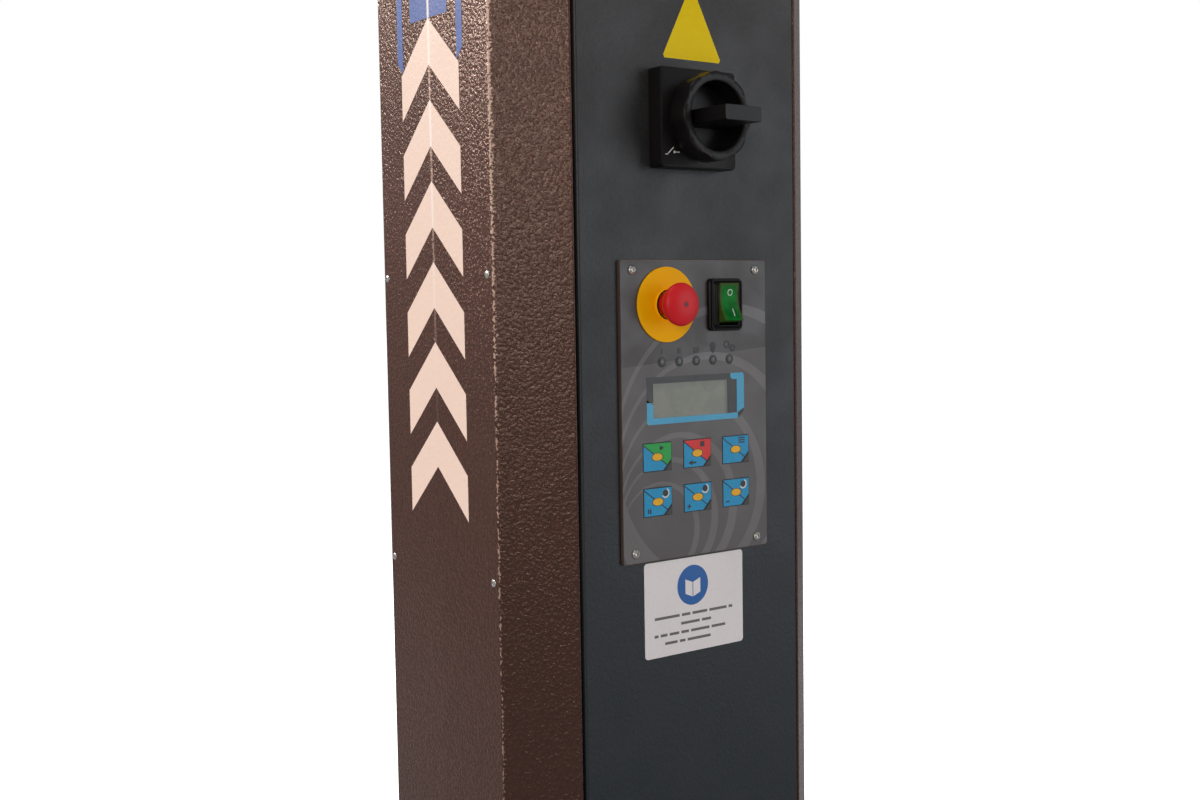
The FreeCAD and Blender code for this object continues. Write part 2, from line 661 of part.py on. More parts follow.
def add_teeth(body, teeth, bore=None):
    """A toothed disc: a blank with a round seat for every roller of the chain."""
    radius = pitch_radius(teeth)
    blank = sketch_on(body, "XY_Plane", "sprocket_low")
    circle(blank, "0", "0", radius + " + tooth_rise")
    if bore:
        circle(blank, "0", "0", bore)
    pad(body, blank, "sprocket_depth")
    seat = sketch_on(body, "XY_Plane", "sprocket_low")
    circle(seat, radius, "0", "chain_roller")
    cut = pocket(body, seat, "sprocket_depth", True)
    ring_of(body, [cut], seat, teeth)


def make_turntable_sprocket():
    body = body_named("turntable_sprocket")
    add_teeth(body, "table_teeth", "sleeve_radius")
    hub = sketch_on(body, "XY_Plane", "sprocket_low + sprocket_depth")
    circle(hub, "0", "0", "sleeve_radius*1.5")
    circle(hub, "0", "0", "sleeve_radius")
    pad(body, hub, "sprocket_depth")


def make_drive_sprocket():
    """The motor's sprocket with its shaft, which stands up into the gearbox."""
    body = body_named("drive_sprocket", "0", "drive_y", "0")
    add_teeth(body, "drive_teeth")
    shaft = sketch_on(body, "XY_Plane", "sprocket_low - 4")
    circle(shaft, "0", "0", "drive_shaft")
    pad(body, shaft, "foot_top + gearbox_height/2 - sprocket_low + 4")


def loop_face(near, far, distance):
    """Flat loop round two circles of different radius, the far one towards -Y."""
    lean = math.asin((near - far) / distance)
    side = FreeCAD.Vector(math.cos(lean), -math.sin(lean), 0)
    other = FreeCAD.Vector(-side.x, side.y, 0)
    centre = FreeCAD.Vector(0, -distance, 0)
    top = Part.Arc(side * near, FreeCAD.Vector(0, near, 0), other * near)
    bottom = Part.Arc(centre + other * far, centre - FreeCAD.Vector(0, far, 0), centre + side * far)
    lines = [Part.LineSegment(other * near, centre + other * far),
             Part.LineSegment(centre + side * far, side * near)]
    edges = [top.toShape(), lines[0].toShape(), bottom.toShape(), lines[1].toShape()]
    return Part.Face(Part.Wire(edges))


def make_drive_chain():
    """The chain's two rows of link plates, one under and one over the sprockets' teeth."""
    near = value(pitch_radius("table_teeth"))
    far = value(pitch_radius("drive_teeth"))
    distance = -value("drive_y")
    half = value("chain_width/2")
    band = loop_face(near + half, far + half, distance).cut(loop_face(near - half, far - half, distance))
    gap = value("moving_gap*2")
    rows = []
    for height in (value("sprocket_low - link_plate") - gap, value("sprocket_low + sprocket_depth") + gap):
        plates = band.extrude(FreeCAD.Vector(0, 0, value("link_plate")))
        plates.translate(FreeCAD.Vector(0, 0, height))
        rows.append(plates.Solids[0])
    chain = document.addObject("Part::Feature", "drive_chain")
    chain.Label = "drive_chain"
    chain.Shape = Part.Compound(rows)
    return chain


def make_table_gearmotor():
    """Gearbox on the mast's foot, with its motor upright on top."""
    body = body_named("table_gearmotor", "0", "drive_y", "foot_top")
    box = sketch_on(body, "XY_Plane")
    rectangle(box, "-gearbox_width/2", "-gearbox_width/2", "gearbox_width/2", "gearbox_width/2")
    pad(body, box, "gearbox_height")
    rounded(body, "8", any_of(*[stands_at(x + "gearbox_width/2", y + "gearbox_width/2")
                                for x in ("-", "") for y in ("-", "")]))
    barrel = sketch_on(body, "XY_Plane", "gearbox_height")
    circle(barrel, "0", "0", "motor_radius")
    pad(body, barrel, "motor_length")
    box = sketch_on(body, "XY_Plane", "gearbox_height + motor_length*0.3")
    rectangle(box, "0", "-motor_radius*0.7", "motor_radius + 30", "motor_radius*0.7")
    pad(body, box, "motor_length*0.5")
    bore = sketch_on(body, "XY_Plane")
    circle(bore, "0", "0", "drive_shaft + running_gap")
    pocket(body, bore, "gearbox_height/2 + 2", True)


# ---- the mast ------------------------------------------------------------------------------------

def make_mast_foot():
    body = body_named("mast_foot")
    plate = sketch_on(body, "XY_Plane", "tongue_height")
    rectangle(plate, "-tongue_width/2", "front_y - foot_margin", "tongue_width/2", "back_y + foot_margin")
    circle(plate, "0", "drive_y", "drive_shaft*2.5")
    for side in ("-", ""):
        for middle in ("bolt_near", "bolt_far"):
            circle(plate, side + "bolt_x", middle, "bolt_radius + screw_clear")
    pad(body, plate, "foot_depth")


def make_foot_bolts():
    """Four hexagon bolts that hold the mast's foot to the base."""
    body = body_named("foot_bolts", "0", "0", "foot_top")
    features = []
    for side in ("-", ""):
        for middle in ("bolt_near", "bolt_far"):
            head = sketch_on(body, "XY_Plane")
            corners = []
            for corner in range(6):
                angle = math.radians(60 * corner)
                corners.append(("%sbolt_x + bolt_head*%.9f" % (side, math.cos(angle)),
                                "%s + bolt_head*%.9f" % (middle, math.sin(angle))))
            outline(head, corners)
            features.append(pad(body, head, "bolt_radius"))
            shank = sketch_on(body, "XY_Plane")
            circle(shank, side + "bolt_x", middle, "bolt_radius")
            features.append(pad(body, shank, "foot_depth + bolt_length", True))


def screw_holes(body, role_side):
    """Rows of holes for the side screws through a sheet on one side of the mast."""
    sketch = sketch_on(body, "YZ_Plane", "%d*(mast_width/2 + 2)" % role_side)
    for place in ("fold_y + screw_front", "back_y - screw_back"):
        circle(sketch, place, "screw_low", "screw_shank + screw_clear")
    cut = pocket(body, sketch, "panel_skin + column_skin + 6", role_side < 0)
    row_of(body, [cut], sketch, "V_Axis", "screw_pitch", "screw_rows")


def make_mast_column():
    """U-shaped column with folded front flanges and the slot for the carriage's tongue."""
    body = body_named("mast_column")
    section = sketch_on(body, "XY_Plane", "foot_top")
    front = "front_y + column_setback"
    right = [("column_x", "web_y"), ("column_x", front), ("column_x - column_flange", front),
             ("column_x - column_flange", front + " + column_skin"),
             ("column_x - column_skin", front + " + column_skin"), ("column_x - column_skin", "web_inner")]
    left = [("-(%s)" % x, y) for x, y in reversed(right)]
    outline(section, right + left)
    pad(body, section, "mast_top - foot_top")
    rounded(body, "column_skin", any_of(stands_at("column_x", "web_y"), stands_at("-column_x", "web_y")))
    slot = sketch_on(body, "XZ_Plane", "-back_y")
    rectangle(slot, "-slot_width/2", "slot_low", "slot_width/2", "slot_high")
    pocket(body, slot, "panel_skin + column_skin", True)
    screw_holes(body, 1)
    screw_holes(body, -1)


def make_side_panel(name, side):
    """Side, slanted corner and folded edges of one sheet; side is 1 on the right, -1 on the left."""
    body = body_named(name)
    inner_x = "(panel_x + panel_skin)"
    middle = "(fold_y + back_y)/2"
    points = [("panel_x", "front_y + panel_return"), ("panel_x", "front_y"), ("side_x", "fold_y"),
              ("side_x + side_crown", middle), ("side_x", "back_y"), ("side_x - panel_return", "back_y"),
              ("side_x - panel_return", "back_y - panel_skin"), ("column_x", "back_y - panel_skin"),
              ("column_x + side_crown", middle),
              ("column_x", "fold_y + panel_skin*chamfer_run/(chamfer_length + chamfer_depth)"),
              (inner_x, "front_y + panel_skin*(chamfer_length + chamfer_depth)/chamfer_run"),
              (inner_x, "front_y + panel_return")]
    section = sketch_on(body, "XY_Plane", "foot_top")
    outline(section, [("%d*(%s)" % (side, x), y) for x, y in points])
    pad(body, section, "mast_top - foot_top")
    outer = [points[2], points[4]]
    rounded(body, "panel_bend", any_of(*[stands_at("%d*(%s)" % (side, x), y) for x, y in outer]))
    inner = [points[7], points[9]]
    rounded(body, "panel_bend - panel_skin",
            any_of(*[stands_at("%d*(%s)" % (side, x), y) for x, y in inner]))
    rounded(body, "panel_bend/2", stands_at("%d*(%s)" % (side, points[1][0]), points[1][1]))
    screw_holes(body, side)


def make_front_panel():
    """Operator panel: a flat sheet with folded edges and the openings for the controls."""
    body = body_named("front_panel")
    half = "front_width/2"
    section = sketch_on(body, "XY_Plane", "foot_top")
    back = "front_y + front_return"
    outline(section, [("-" + half, back), ("-" + half, "front_y"), (half, "front_y"), (half, back),
                      (half + " - panel_skin", back), (half + " - panel_skin", "front_y + panel_skin"),
                      ("-" + half + " + panel_skin", "front_y + panel_skin"),
                      ("-" + half + " + panel_skin", back)])
    pad(body, section, "mast_top - foot_top")
    rounded(body, "panel_skin", any_of(stands_at("-" + half, "front_y"), stands_at(half, "front_y")))
    opening = sketch_on(body, "XZ_Plane", "-front_y")
    rectangle(opening, "-cutout_width/2", "plate_middle - cutout_height/2",
              "cutout_width/2", "plate_middle + cutout_height/2")
    circle(opening, "switch_x", "switch_z", "stop_barrel + 1")
    for x in ("-plate_screw_x/2", "plate_screw_x/2"):
        for z in ("plate_middle - plate_screw_z", "plate_middle + plate_screw_z"):
            circle(opening, x, z, "screw_shank + screw_clear")
    pocket(body, opening, "panel_skin")


def make_mast_cap():
    """Lid whose skirt hangs round the tops of the mast's panels."""
    body = body_named("mast_cap")
    blunt = "chamfer_depth/(chamfer_length + chamfer_run)"
    steep = "chamfer_run/(chamfer_length + chamfer_depth)"

    def grown(by):
        half = [("panel_x + (%s)*%s" % (by, blunt), "front_y - (%s)" % by),
                ("side_x + (%s)" % by, "fold_y - (%s)*%s" % (by, steep)),
                ("side_x + (%s)" % by, "back_y + (%s)" % by)]
        return half + [("-(%s)" % x, y) for x, y in reversed(half)]
    top = sketch_on(body, "XY_Plane", "mast_top - cap_skirt")
    outline(top, grown("cap_gap + cap_skin"))
    pad(body, top, "cap_skirt + cap_skin")
    inside = sketch_on(body, "XY_Plane", "mast_top - cap_skirt")
    outline(inside, grown("cap_gap"))
    pocket(body, inside, "cap_skirt", True)


def make_side_screws():
    """Button-head screws in two rows on each side of the mast."""
    body = body_named("side_screws_right")
    for place in ("fold_y + screw_front", "back_y - screw_back"):
        profile = sketch_on(body, "XY_Plane", "screw_low", "0", place)
        tip = "side_x - panel_skin - column_skin - 2"
        outline(profile, [(tip, "0"), ("side_x + screw_rise", "0"),
                          ("side_x + screw_rise", "screw_head*0.45"),
                          ("side_x + screw_rise*0.6", "screw_head*0.85"), ("side_x + 0.15", "screw_head"),
                          ("side_x + 0.15", "screw_shank"), (tip, "screw_shank")])
        screw = turn(body, profile, "H_Axis")
        row_of(body, [screw], profile, "N_Axis", "screw_pitch", "screw_rows")
    return both_sides("side_screws", body)


# ---- the film carriage ---------------------------------------------------------------------------

def make_guide_rails():
    """Two T-shaped rails on the mast's back."""
    body = body_named("guide_rails")
    section = sketch_on(body, "XY_Plane", "rail_low")
    stem = "rail_stem/2"
    head = "rail_head/2"
    outline(section, [("rail_offset - " + stem, "back_y - panel_skin"),
                      ("rail_offset + " + stem, "back_y - panel_skin"),
                      ("rail_offset + " + stem, "head_near"), ("rail_offset + " + head, "head_near"),
                      ("rail_offset + " + head, "head_far"), ("rail_offset - " + head, "head_far"),
                      ("rail_offset - " + head, "head_near"), ("rail_offset - " + stem, "head_near")])
    rail = pad(body, section, "rail_high - rail_low")
    mirrored(body, [rail])


def make_carriage_frame():
    """Back plate, shelf, roof over the rollers and side wall, welded into one."""
    body = body_named("carriage_frame")
    half = "carriage_width/2"
    back = sketch_on(body, "XY_Plane", "carriage_low")
    rectangle(back, "-" + half, "carriage_back", half, "carriage_face")
    pad(body, back, "carriage_height")
    shelf = sketch_on(body, "XY_Plane", "carriage_low")
    rectangle(shelf, "-" + half, "carriage_face", half, "carriage_face + carriage_depth")
    pad(body, shelf, "shelf_skin")
    rounded(body, "60", any_of(stands_at("-" + half, "carriage_face + carriage_depth")))
    roof = sketch_on(body, "XY_Plane", "roof_low")
    rectangle(roof, "roof_start", "carriage_face", half, "carriage_face + carriage_depth")
    pad(body, roof, "shelf_skin")
    side = sketch_on(body, "XY_Plane", "carriage_low")
    rectangle(side, half + " - carriage_skin", "carriage_face", half, "carriage_face + carriage_depth")
    pad(body, side, "carriage_height")
    bores = sketch_on(body, "XY_Plane", "carriage_low")
    circle(bores, "brake_x", "carriage_face + brake_y", "roller_shaft + running_gap")
    circle(bores, "idle_x", "carriage_face + idle_y", "roller_shaft + running_gap")
    pocket(body, bores, None, True)


def make_slide_shoes():
    """Four nylon shoes that hold the carriage to the rails."""
    body = body_named("slide_shoes_right")
    section = sketch_on(body, "XY_Plane", "carriage_low + shoe_inset")
    outer = "head_edge + shoe_width/2"
    lip = "head_edge - shoe_width/2"
    edge = "head_edge + shoe_gap"
    far = "head_far + shoe_gap"
    near = "head_near - shoe_gap"
    end = "head_near - shoe_gap - stem_depth/2"
    outline(section, [(outer, "carriage_back"), (lip, "carriage_back"), (lip, far), (edge, far),
                      (edge, near), (lip + " + 4", near), (lip + " + 4", end), (outer, end)])
    shoe = pad(body, section, "shoe_height")
    pitch = "carriage_height - 2*shoe_inset - shoe_height"
    row_of(body, [shoe], section, "N_Axis", pitch, "2")
    return both_sides("slide_shoes", body)


def make_belt_clamp():
    """Block through the mast's slot whose end closes round the belt."""
    body = body_named("belt_clamp")
    low = "clamp_middle - clamp_height/2"
    block = sketch_on(body, "XY_Plane", low)
    rectangle(block, "-tongue_block/2", "belt_y + belt_inner - moving_gap - clamp_jaw",
              "tongue_block/2", "carriage_back")
    pad(body, block, "clamp_height")
    slot = sketch_on(body, "XY_Plane", low)
    rectangle(slot, "-belt_width/2 - moving_gap", "belt_y + belt_inner - moving_gap",
              "belt_width/2 + moving_gap", "belt_y + belt_outer + moving_gap")
    pocket(body, slot, "clamp_height", True)


def make_film_spindle():
    body = body_named("film_spindle", "reel_x", "carriage_face + reel_y", "shelf_top")
    profile = sketch_on(body, "XZ_Plane")
    outline(profile, [("0", "0"), ("reel_spindle*2.5", "0"), ("reel_spindle*2.5", "8"),
                      ("reel_spindle", "8"), ("reel_spindle", "core_height + 24"),
                      ("0", "core_height + 24")])
    turn(body, profile)


def make_reel_core():
    """Mandrel and plate that the film's core drops onto; it turns on the spindle."""
    body = body_named("reel_core", "reel_x", "carriage_face + reel_y", "core_low")
    bore = "reel_spindle + running_gap"
    hollow = "core_radius - core_wall"
    profile = sketch_on(body, "XZ_Plane")
    outline(profile, [(bore, "0"), ("core_plate", "0"), ("core_plate", "6"), ("core_radius", "6"),
                      ("core_radius", "core_height - 12"), ("core_radius - 10", "core_height"),
                      (bore, "core_height"), (bore, "core_height - 24"), (hollow, "core_height - 24"),
                      (hollow, "30"), (bore, "30")])
    turn(body, profile)


def make_roller(name, x, y, radius, reach):
    """A film roller with its shaft, which turns in the shelf and the roof."""
    body = body_named(name, x, "carriage_face + " + y, "carriage_low")
    top = "carriage_height - shelf_skin - roller_inset"
    profile = sketch_on(body, "XZ_Plane")
    outline(profile, [("0", "0"), ("roller_shaft", "0"), ("roller_shaft", "shelf_skin + roller_inset - 8"),
                      (radius + "*0.6", "shelf_skin + roller_inset - 8"),
                      (radius + "*0.6", "shelf_skin + roller_inset"),
                      (radius, "shelf_skin + roller_inset"), (radius, top), (radius + "*0.6", top),
                      (radius + "*0.6", top + " + 8"), ("roller_shaft", top + " + 8"),
                      ("roller_shaft", "carriage_height + " + reach), ("0", "carriage_height + " + reach)])
    turn(body, profile)


def make_brake_housing():
    body = body_named("brake_drum", "brake_x", "carriage_face + brake_y", "carriage_top")
    profile = sketch_on(body, "XZ_Plane")
    bore = "roller_shaft + moving_gap"
    knob_bore = "roller_shaft/2 + running_gap"
    outline(profile, [(bore, "0"), ("brake_housing", "0"), ("brake_housing", "housing_height*0.7"),
                      ("brake_housing - 6", "housing_height"), (knob_bore, "housing_height"),
                      (knob_bore, "housing_height - 12"), (bore, "housing_height - 12")])
    turn(body, profile)


def make_brake_knob():
    """Star knob that sets the film brake, with its stem in the housing."""
    body = body_named("brake_knob", "brake_x", "carriage_face + brake_y", "carriage_top + housing_height")
    head = sketch_on(body, "XY_Plane", "moving_gap")
    circle(head, "0", "0", "knob_radius")
    pad(body, head, "knob_height")
    notch = sketch_on(body, "XY_Plane", "moving_gap")
    circle(notch, "knob_radius*1.12", "0", "knob_radius*0.25")
    cut = pocket(body, notch, "knob_height", True)
    ring_of(body, [cut], notch, "7")
    stem = sketch_on(body, "XY_Plane", "moving_gap")
    circle(stem, "0", "0", "roller_shaft/2")
    pad(body, stem, "10", True)


def make_photocell():
    """Load-height sensor on its bracket, above the carriage's back plate."""
    body = body_named("photocell", "-carriage_width/2 + 30", "carriage_face", "carriage_top")
    bracket = sketch_on(body, "XY_Plane")
    rectangle(bracket, "-20", "-carriage_skin", "20", "40")
    pad(body, bracket, "3")
    case = sketch_on(body, "XY_Plane", "3")
    rectangle(case, "-10", "-5", "10", "38")
    pad(body, case, "50")
    lens = sketch_on(body, "XZ_Plane", "-38")
    circle(lens, "0", "34", "7")
    pad(body, lens, "3", True)


# ---- the lift drive inside the mast --------------------------------------------------------------

def make_lift_gearmotor():
    """Gearbox on the column's back, its motor hanging beside the belt."""
    body = body_named("lift_gearmotor", "0", "belt_y", "pulley_high")
    right = "-pulley_width/2 - pulley_flange - 6"
    left = right + " - gearbox_width*0.9"
    box = sketch_on(body, "XY_Plane", "-gearbox_height/2")
    rectangle(box, left, "-gearbox_width/2 + 4", right, "belt_setback - panel_skin - column_skin")
    pad(body, box, "gearbox_height")
    barrel = sketch_on(body, "XY_Plane", "-gearbox_height/2")
    circle(barrel, "(%s + %s)/2 - 4" % (left, right), "-4", "motor_radius*0.9")
    pad(body, barrel, "motor_length", True)
    bore = sketch_on(body, "YZ_Plane", right)
    circle(bore, "0", "0", "lift_shaft + running_gap")
    pocket(body, bore, "gearbox_width*0.7")


def flanged_pulley(body, low, pin):
    """Pulley profile turned about X; low is where its first flange starts, pin its bore or shaft."""
    profile = sketch_on(body, "XY_Plane")
    half = "pulley_width/2"
    rim = "pulley_radius + pulley_flange"
    points = [("-%s - pulley_flange" % half, rim), ("-" + half, rim), ("-" + half, "pulley_radius"),
              (half, "pulley_radius"), (half, rim), (half + " + pulley_flange", rim)]
    outline(profile, [low] + points + [pin] + ([] if low[1] == pin[1] else [("0", "0")]))
    turn(body, profile, "H_Axis")


def make_lift_pulley():
    """Driven pulley with its shaft, which reaches into the gearbox."""
    body = body_named("lift_pulley", "0", "belt_y", "pulley_high")
    flanged_pulley(body, ("-pulley_width/2 - pulley_flange", "0"), ("pulley_width/2 + pulley_flange", "0"))
    shaft = sketch_on(body, "YZ_Plane", "-pulley_width/2")
    circle(shaft, "0", "0", "lift_shaft")
    pad(body, shaft, "pulley_flange + 6 + gearbox_width*0.6", True)


def make_idler_pulley():
    body = body_named("idler_pulley", "0", "belt_y", "pulley_low")
    bore = "idler_pin + running_gap"
    flanged_pulley(body, ("-pulley_width/2 - pulley_flange", bore), ("pulley_width/2 + pulley_flange", bore))


def make_idler_bracket():
    """Foot, two ears and the idler's pin, on the column's back."""
    body = body_named("idler_bracket", "0", "belt_y", "pulley_low")
    foot_face = "belt_setback - panel_skin - column_skin"
    inner = "(pulley_width/2 + pulley_flange + 1)"
    foot = sketch_on(body, "XY_Plane", "-clamp_height/2")
    rectangle(foot, "-%s - 20" % inner, foot_face + " - 5", inner + " + 20", foot_face)
    pad(body, foot, "clamp_height")
    ears = sketch_on(body, "XY_Plane", "-clamp_height/3")
    for side in (-1, 1):
        edges = sorted(("%d*%s" % (side, inner), "%d*(%s + ear_wall)" % (side, inner)), key=value)
        rectangle(ears, edges[0], "-idler_pin*3", edges[1], foot_face)
    pad(body, ears, "clamp_height*2/3")
    pin = sketch_on(body, "YZ_Plane", "-%s - ear_wall" % inner)
    circle(pin, "0", "0", "idler_pin")
    pad(body, pin, "2*%s + 2*ear_wall" % inner)


def make_lift_belt():
    """Endless belt round the two pulleys."""
    def loop(name, radius):
        width = "belt_width"
        run = document.addObject("Part::Box", name + "_run")
        run.setExpression("Length", bind(width))
        run.setExpression("Width", bind("2*(%s)" % radius))
        run.setExpression("Height", bind("pulley_high - pulley_low"))
        put(run, "-belt_width/2", "belt_y - (%s)" % radius, "pulley_low")
        parts = [run]
        for height in ("pulley_low", "pulley_high"):
            end = document.addObject("Part::Cylinder", name + "_end")
            end.setExpression("Radius", bind(radius))
            end.setExpression("Height", bind(width))
            end.Placement.Rotation = FreeCAD.Rotation(FreeCAD.Vector(0, 1, 0), 90)
            put(end, "-belt_width/2", "belt_y", height)
            parts.append(end)
        whole = document.addObject("Part::MultiFuse", name)
        whole.Shapes = parts
        return whole
    belt = document.addObject("Part::Cut", "lift_belt")
    belt.Label = "lift_belt"
    belt.Base = loop("belt_outside", "belt_outer")
    belt.Tool = loop("belt_inside", "belt_inner")
    return belt


# ---- the electrics -------------------------------------------------------------------------------

def make_mounting_plate():
    body = body_named("mounting_plate")
    plate = sketch_on(body, "XY_Plane", "plate_top - 560")
    y = "front_y + panel_setback"
    half = "(column_x - column_skin)"
    rectangle(plate, "-" + half, y, half, y + " + panel_skin")
    pad(body, plate, "760")


def make_inverters():
    """Two motor inverters side by side on the mounting plate."""
    body = body_named("inverters")
    y = "front_y + panel_setback"
    case = sketch_on(body, "XY_Plane", "plate_top - 470")
    rectangle(case, "-inverter_width - 12", y + " - inverter_depth", "-12", y)
    block = pad(body, case, "inverter_height")
    mirrored(body, [block])


def make_cable_gland():
    """Gland for the supply cable in the end wall of the tongue."""
    body = body_named("cable_gland", "gland_x", "-tongue_end", "gland_height")
    profile = sketch_on(body, "XY_Plane")
    outline(profile, [("gland_bore", "tongue_wall + 6"), ("gland_thread", "tongue_wall + 6"),
                      ("gland_thread", "0"), ("gland_thread + 4", "0"), ("gland_thread + 4", "-7"),
                      ("gland_thread + 2", "-8"), ("gland_thread + 1", "-18"), ("gland_bore + 2", "-24"),
                      ("gland_bore", "-24")])
    turn(body, profile)


# ---- the controls --------------------------------------------------------------------------------

def control_body(name, x="0", z="0"):
    """A body on the operator face; its XZ plane lies on the face and -Y points at the operator."""
    return body_named(name, x, "front_y", "plate_middle + " + z)


KEY_PLACES = [(column, row) for row in (0, 1) for column in (-1, 0, 1)]


def key_middle(number):
    column, row = KEY_PLACES[number - 1]
    return "%d*key_column" % column, "key_z - %d*key_row" % row


def pierced(body, half_width, half_height, start, depth):
    """Sheet with the openings for the display, lamps, keys, switches and screws."""
    sheet_face = sketch_on(body, "XZ_Plane", start)
    rectangle(sheet_face, "-" + half_width, "-" + half_height, half_width, half_height)
    pad(body, sheet_face, depth)
    rounded(body, "2", lambda edge: corner_edge(edge, value(half_width), value(half_height)))
    holes = sketch_on(body, "XZ_Plane", "%s + %s" % (start, depth))
    rectangle(holes, "window_x - window_width/2", "window_z - window_height/2",
              "window_x + window_width/2", "window_z + window_height/2")
    circle(holes, "stop_x", "stop_z", "stop_barrel + screw_clear")
    rectangle(holes, "rocker_x - rocker_width/2 - 3", "rocker_z - rocker_height/2 - 4",
              "rocker_x + rocker_width/2 + 3", "rocker_z + rocker_height/2 + 4")
    for lamp in range(-2, 3):
        circle(holes, "%d*lamp_pitch" % lamp, "lamp_z", "lamp_radius + screw_clear")
    for number in range(1, 7):
        x, z = key_middle(number)
        rectangle(holes, x + " - key_width/2 - moving_gap", z + " - key_height/2 - moving_gap",
                  x + " + key_width/2 + moving_gap", z + " + key_height/2 + moving_gap")
    for x in ("-plate_screw_x/2", "plate_screw_x/2"):
        for z in ("-plate_screw_z", "plate_screw_z"):
            circle(holes, x, z, "screw_shank + screw_clear")
    pocket(body, holes, depth)


def corner_edge(edge, half_width, half_height):
    """Whether an edge runs along Y at one of a sheet's four corners."""
    ends = [vertex.Point for vertex in edge.Vertexes]
    return len(ends) == 2 and all(abs(abs(end.x) - half_width) < 0.01 for end in ends) and all(
        abs(abs(end.z) - half_height) < 0.01 for end in ends) and abs(ends[0].y - ends[1].y) > 0.1


def make_control_plate():
    pierced(control_body("control_plate"), "plate_width/2", "plate_height/2", "0", "plate_skin")


def make_control_overlay():
    pierced(control_body("control_overlay"), "(plate_width/2 - 0.5)", "(plate_height/2 - 0.5)",
            "plate_skin", "overlay_skin")


def make_display_window():
    body = control_body("display_window", "window_x", "window_z")
    face = sketch_on(body, "XZ_Plane", "overlay_front - 0.1")
    rectangle(face, "-window_width/2 + 0.1", "-window_height/2 + 0.1",
              "window_width/2 - 0.1", "window_height/2 - 0.1")
    pad(body, face, "window_skin", True)


def make_control_board():
    """Circuit board with the display module, signal lamps, key contacts and four pillars."""
    body = control_body("control_board")
    half = "(cutout_width/2 - 2)"
    board = sketch_on(body, "XZ_Plane", "-board_gap - board_skin")
    rectangle(board, "-" + half, "-cutout_height/2 + 2", half, "lamp_z + 12")
    pad(body, board, "board_skin")
    module = sketch_on(body, "XZ_Plane", "-board_gap")
    rectangle(module, "window_x - window_width/2 - 2", "window_z - window_height/2 - 3",
              "window_x + window_width/2 + 2", "window_z + window_height/2 + 3")
    pad(body, module, "board_gap")
    screen = sketch_on(body, "XZ_Plane", "0")
    rectangle(screen, "window_x - window_width/2 + 1", "window_z - window_height/2 + 1",
              "window_x + window_width/2 - 1", "window_z + window_height/2 - 1")
    pad(body, screen, "overlay_front - 0.1 - window_skin")
    pillars = sketch_on(body, "XZ_Plane", "-board_gap")
    for x in (-1, 1):
        for z in ("key_z + key_row*0.6", "key_z - key_row*1.6"):
            circle(pillars, "%d*(%s - 3)" % (x, half), z, "2")
    pad(body, pillars, "board_gap")
    lamps = sketch_on(body, "XZ_Plane", "-board_gap")
    for lamp in range(-2, 3):
        circle(lamps, "%d*lamp_pitch" % lamp, "lamp_z", "lamp_radius")
    pad(body, lamps, "board_gap + overlay_front + lamp_rise")
    contacts = sketch_on(body, "XZ_Plane", "-board_gap")
    for number in range(1, 7):
        x, z = key_middle(number)
        rectangle(contacts, x + " - 3", z + " - 3", x + " + 3", z + " + 3")
    pad(body, contacts, "board_gap - 1.4")


def make_plate_screws():
    """Four button-head socket screws at the control plate's corners."""
    body = control_body("plate_screws")
    for x in ("-plate_screw_x/2", "plate_screw_x/2"):
        for z in ("-plate_screw_z", "plate_screw_z"):
            profile = sketch_on(body, "YZ_Plane", x, "0", z)
            top = "-overlay_front - plate_screw_rise"
            outline(profile, [("panel_skin + 4", "0"), (top + " + 1.2", "0"), (top + " + 1.2", "1.3"),
                              (top, "1.3"), (top, "plate_screw_head*0.5"),
                              (top + "*0.85 - overlay_front*0.15", "plate_screw_head*0.8"),
                              ("-overlay_front", "plate_screw_head"), ("-overlay_front", "screw_shank"),
                              ("panel_skin + 4", "screw_shank")])
            turn(body, profile, "H_Axis")


def make_key(number):
    """A membrane key with a lip that keeps it behind the plate."""
    x, z = key_middle(number)
    body = control_body("key_%d" % number, x, z)
    face = sketch_on(body, "XZ_Plane", "0")
    rectangle(face, "-key_width/2", "-key_height/2", "key_width/2", "key_height/2")
    pad(body, face, "overlay_front + key_rise")
    lip = sketch_on(body, "XZ_Plane", "0")
    rectangle(lip, "-key_width/2 - key_lip", "-key_height/2 - key_lip",
              "key_width/2 + key_lip", "key_height/2 + key_lip")
    pad(body, lip, "0.8", True)


def make_stop_disc():
    body = control_body("estop_disc", "stop_x", "stop_z")
    face = sketch_on(body, "XZ_Plane", "overlay_front")
    circle(face, "0", "0", "stop_disc")
    circle(face, "0", "0", "stop_barrel + screw_clear")
    pad(body, face, "disc_skin")


def make_stop_body():
    """Collar, barrel and contact block of the emergency stop, bored for its stem."""
    body = control_body("estop_body", "stop_x", "stop_z")
    collar = sketch_on(body, "XZ_Plane", "overlay_front + disc_skin")
    circle(collar, "0", "0", "stop_collar")
    pad(body, collar, "collar_rise")
    barrel = sketch_on(body, "XZ_Plane", "overlay_front + disc_skin")
    circle(barrel, "0", "0", "stop_barrel")
    pad(body, barrel, "overlay_front + disc_skin + 14", True)
    block = sketch_on(body, "XZ_Plane", "-12")
    rectangle(block, "-stop_block/2", "-stop_block/2", "stop_block/2", "stop_block/2")
    pad(body, block, "46", True)
    nut = sketch_on(body, "XZ_Plane", "0")
    circle(nut, "0", "0", "stop_barrel + 4")
    pad(body, nut, "5", True)
    recess = sketch_on(body, "XZ_Plane", "collar_front")
    circle(recess, "0", "0", "collar_bore")
    pocket(body, recess, "collar_rise - collar_floor")
    hollow = sketch_on(body, "XZ_Plane", "collar_front")
    circle(hollow, "0", "0", "barrel_bore")
    pocket(body, hollow, "collar_rise + stop_stroke")
    bore = sketch_on(body, "XZ_Plane", "collar_front")
    circle(bore, "0", "0", "stop_stem + running_gap")
    pocket(body, bore, "collar_front + 45")


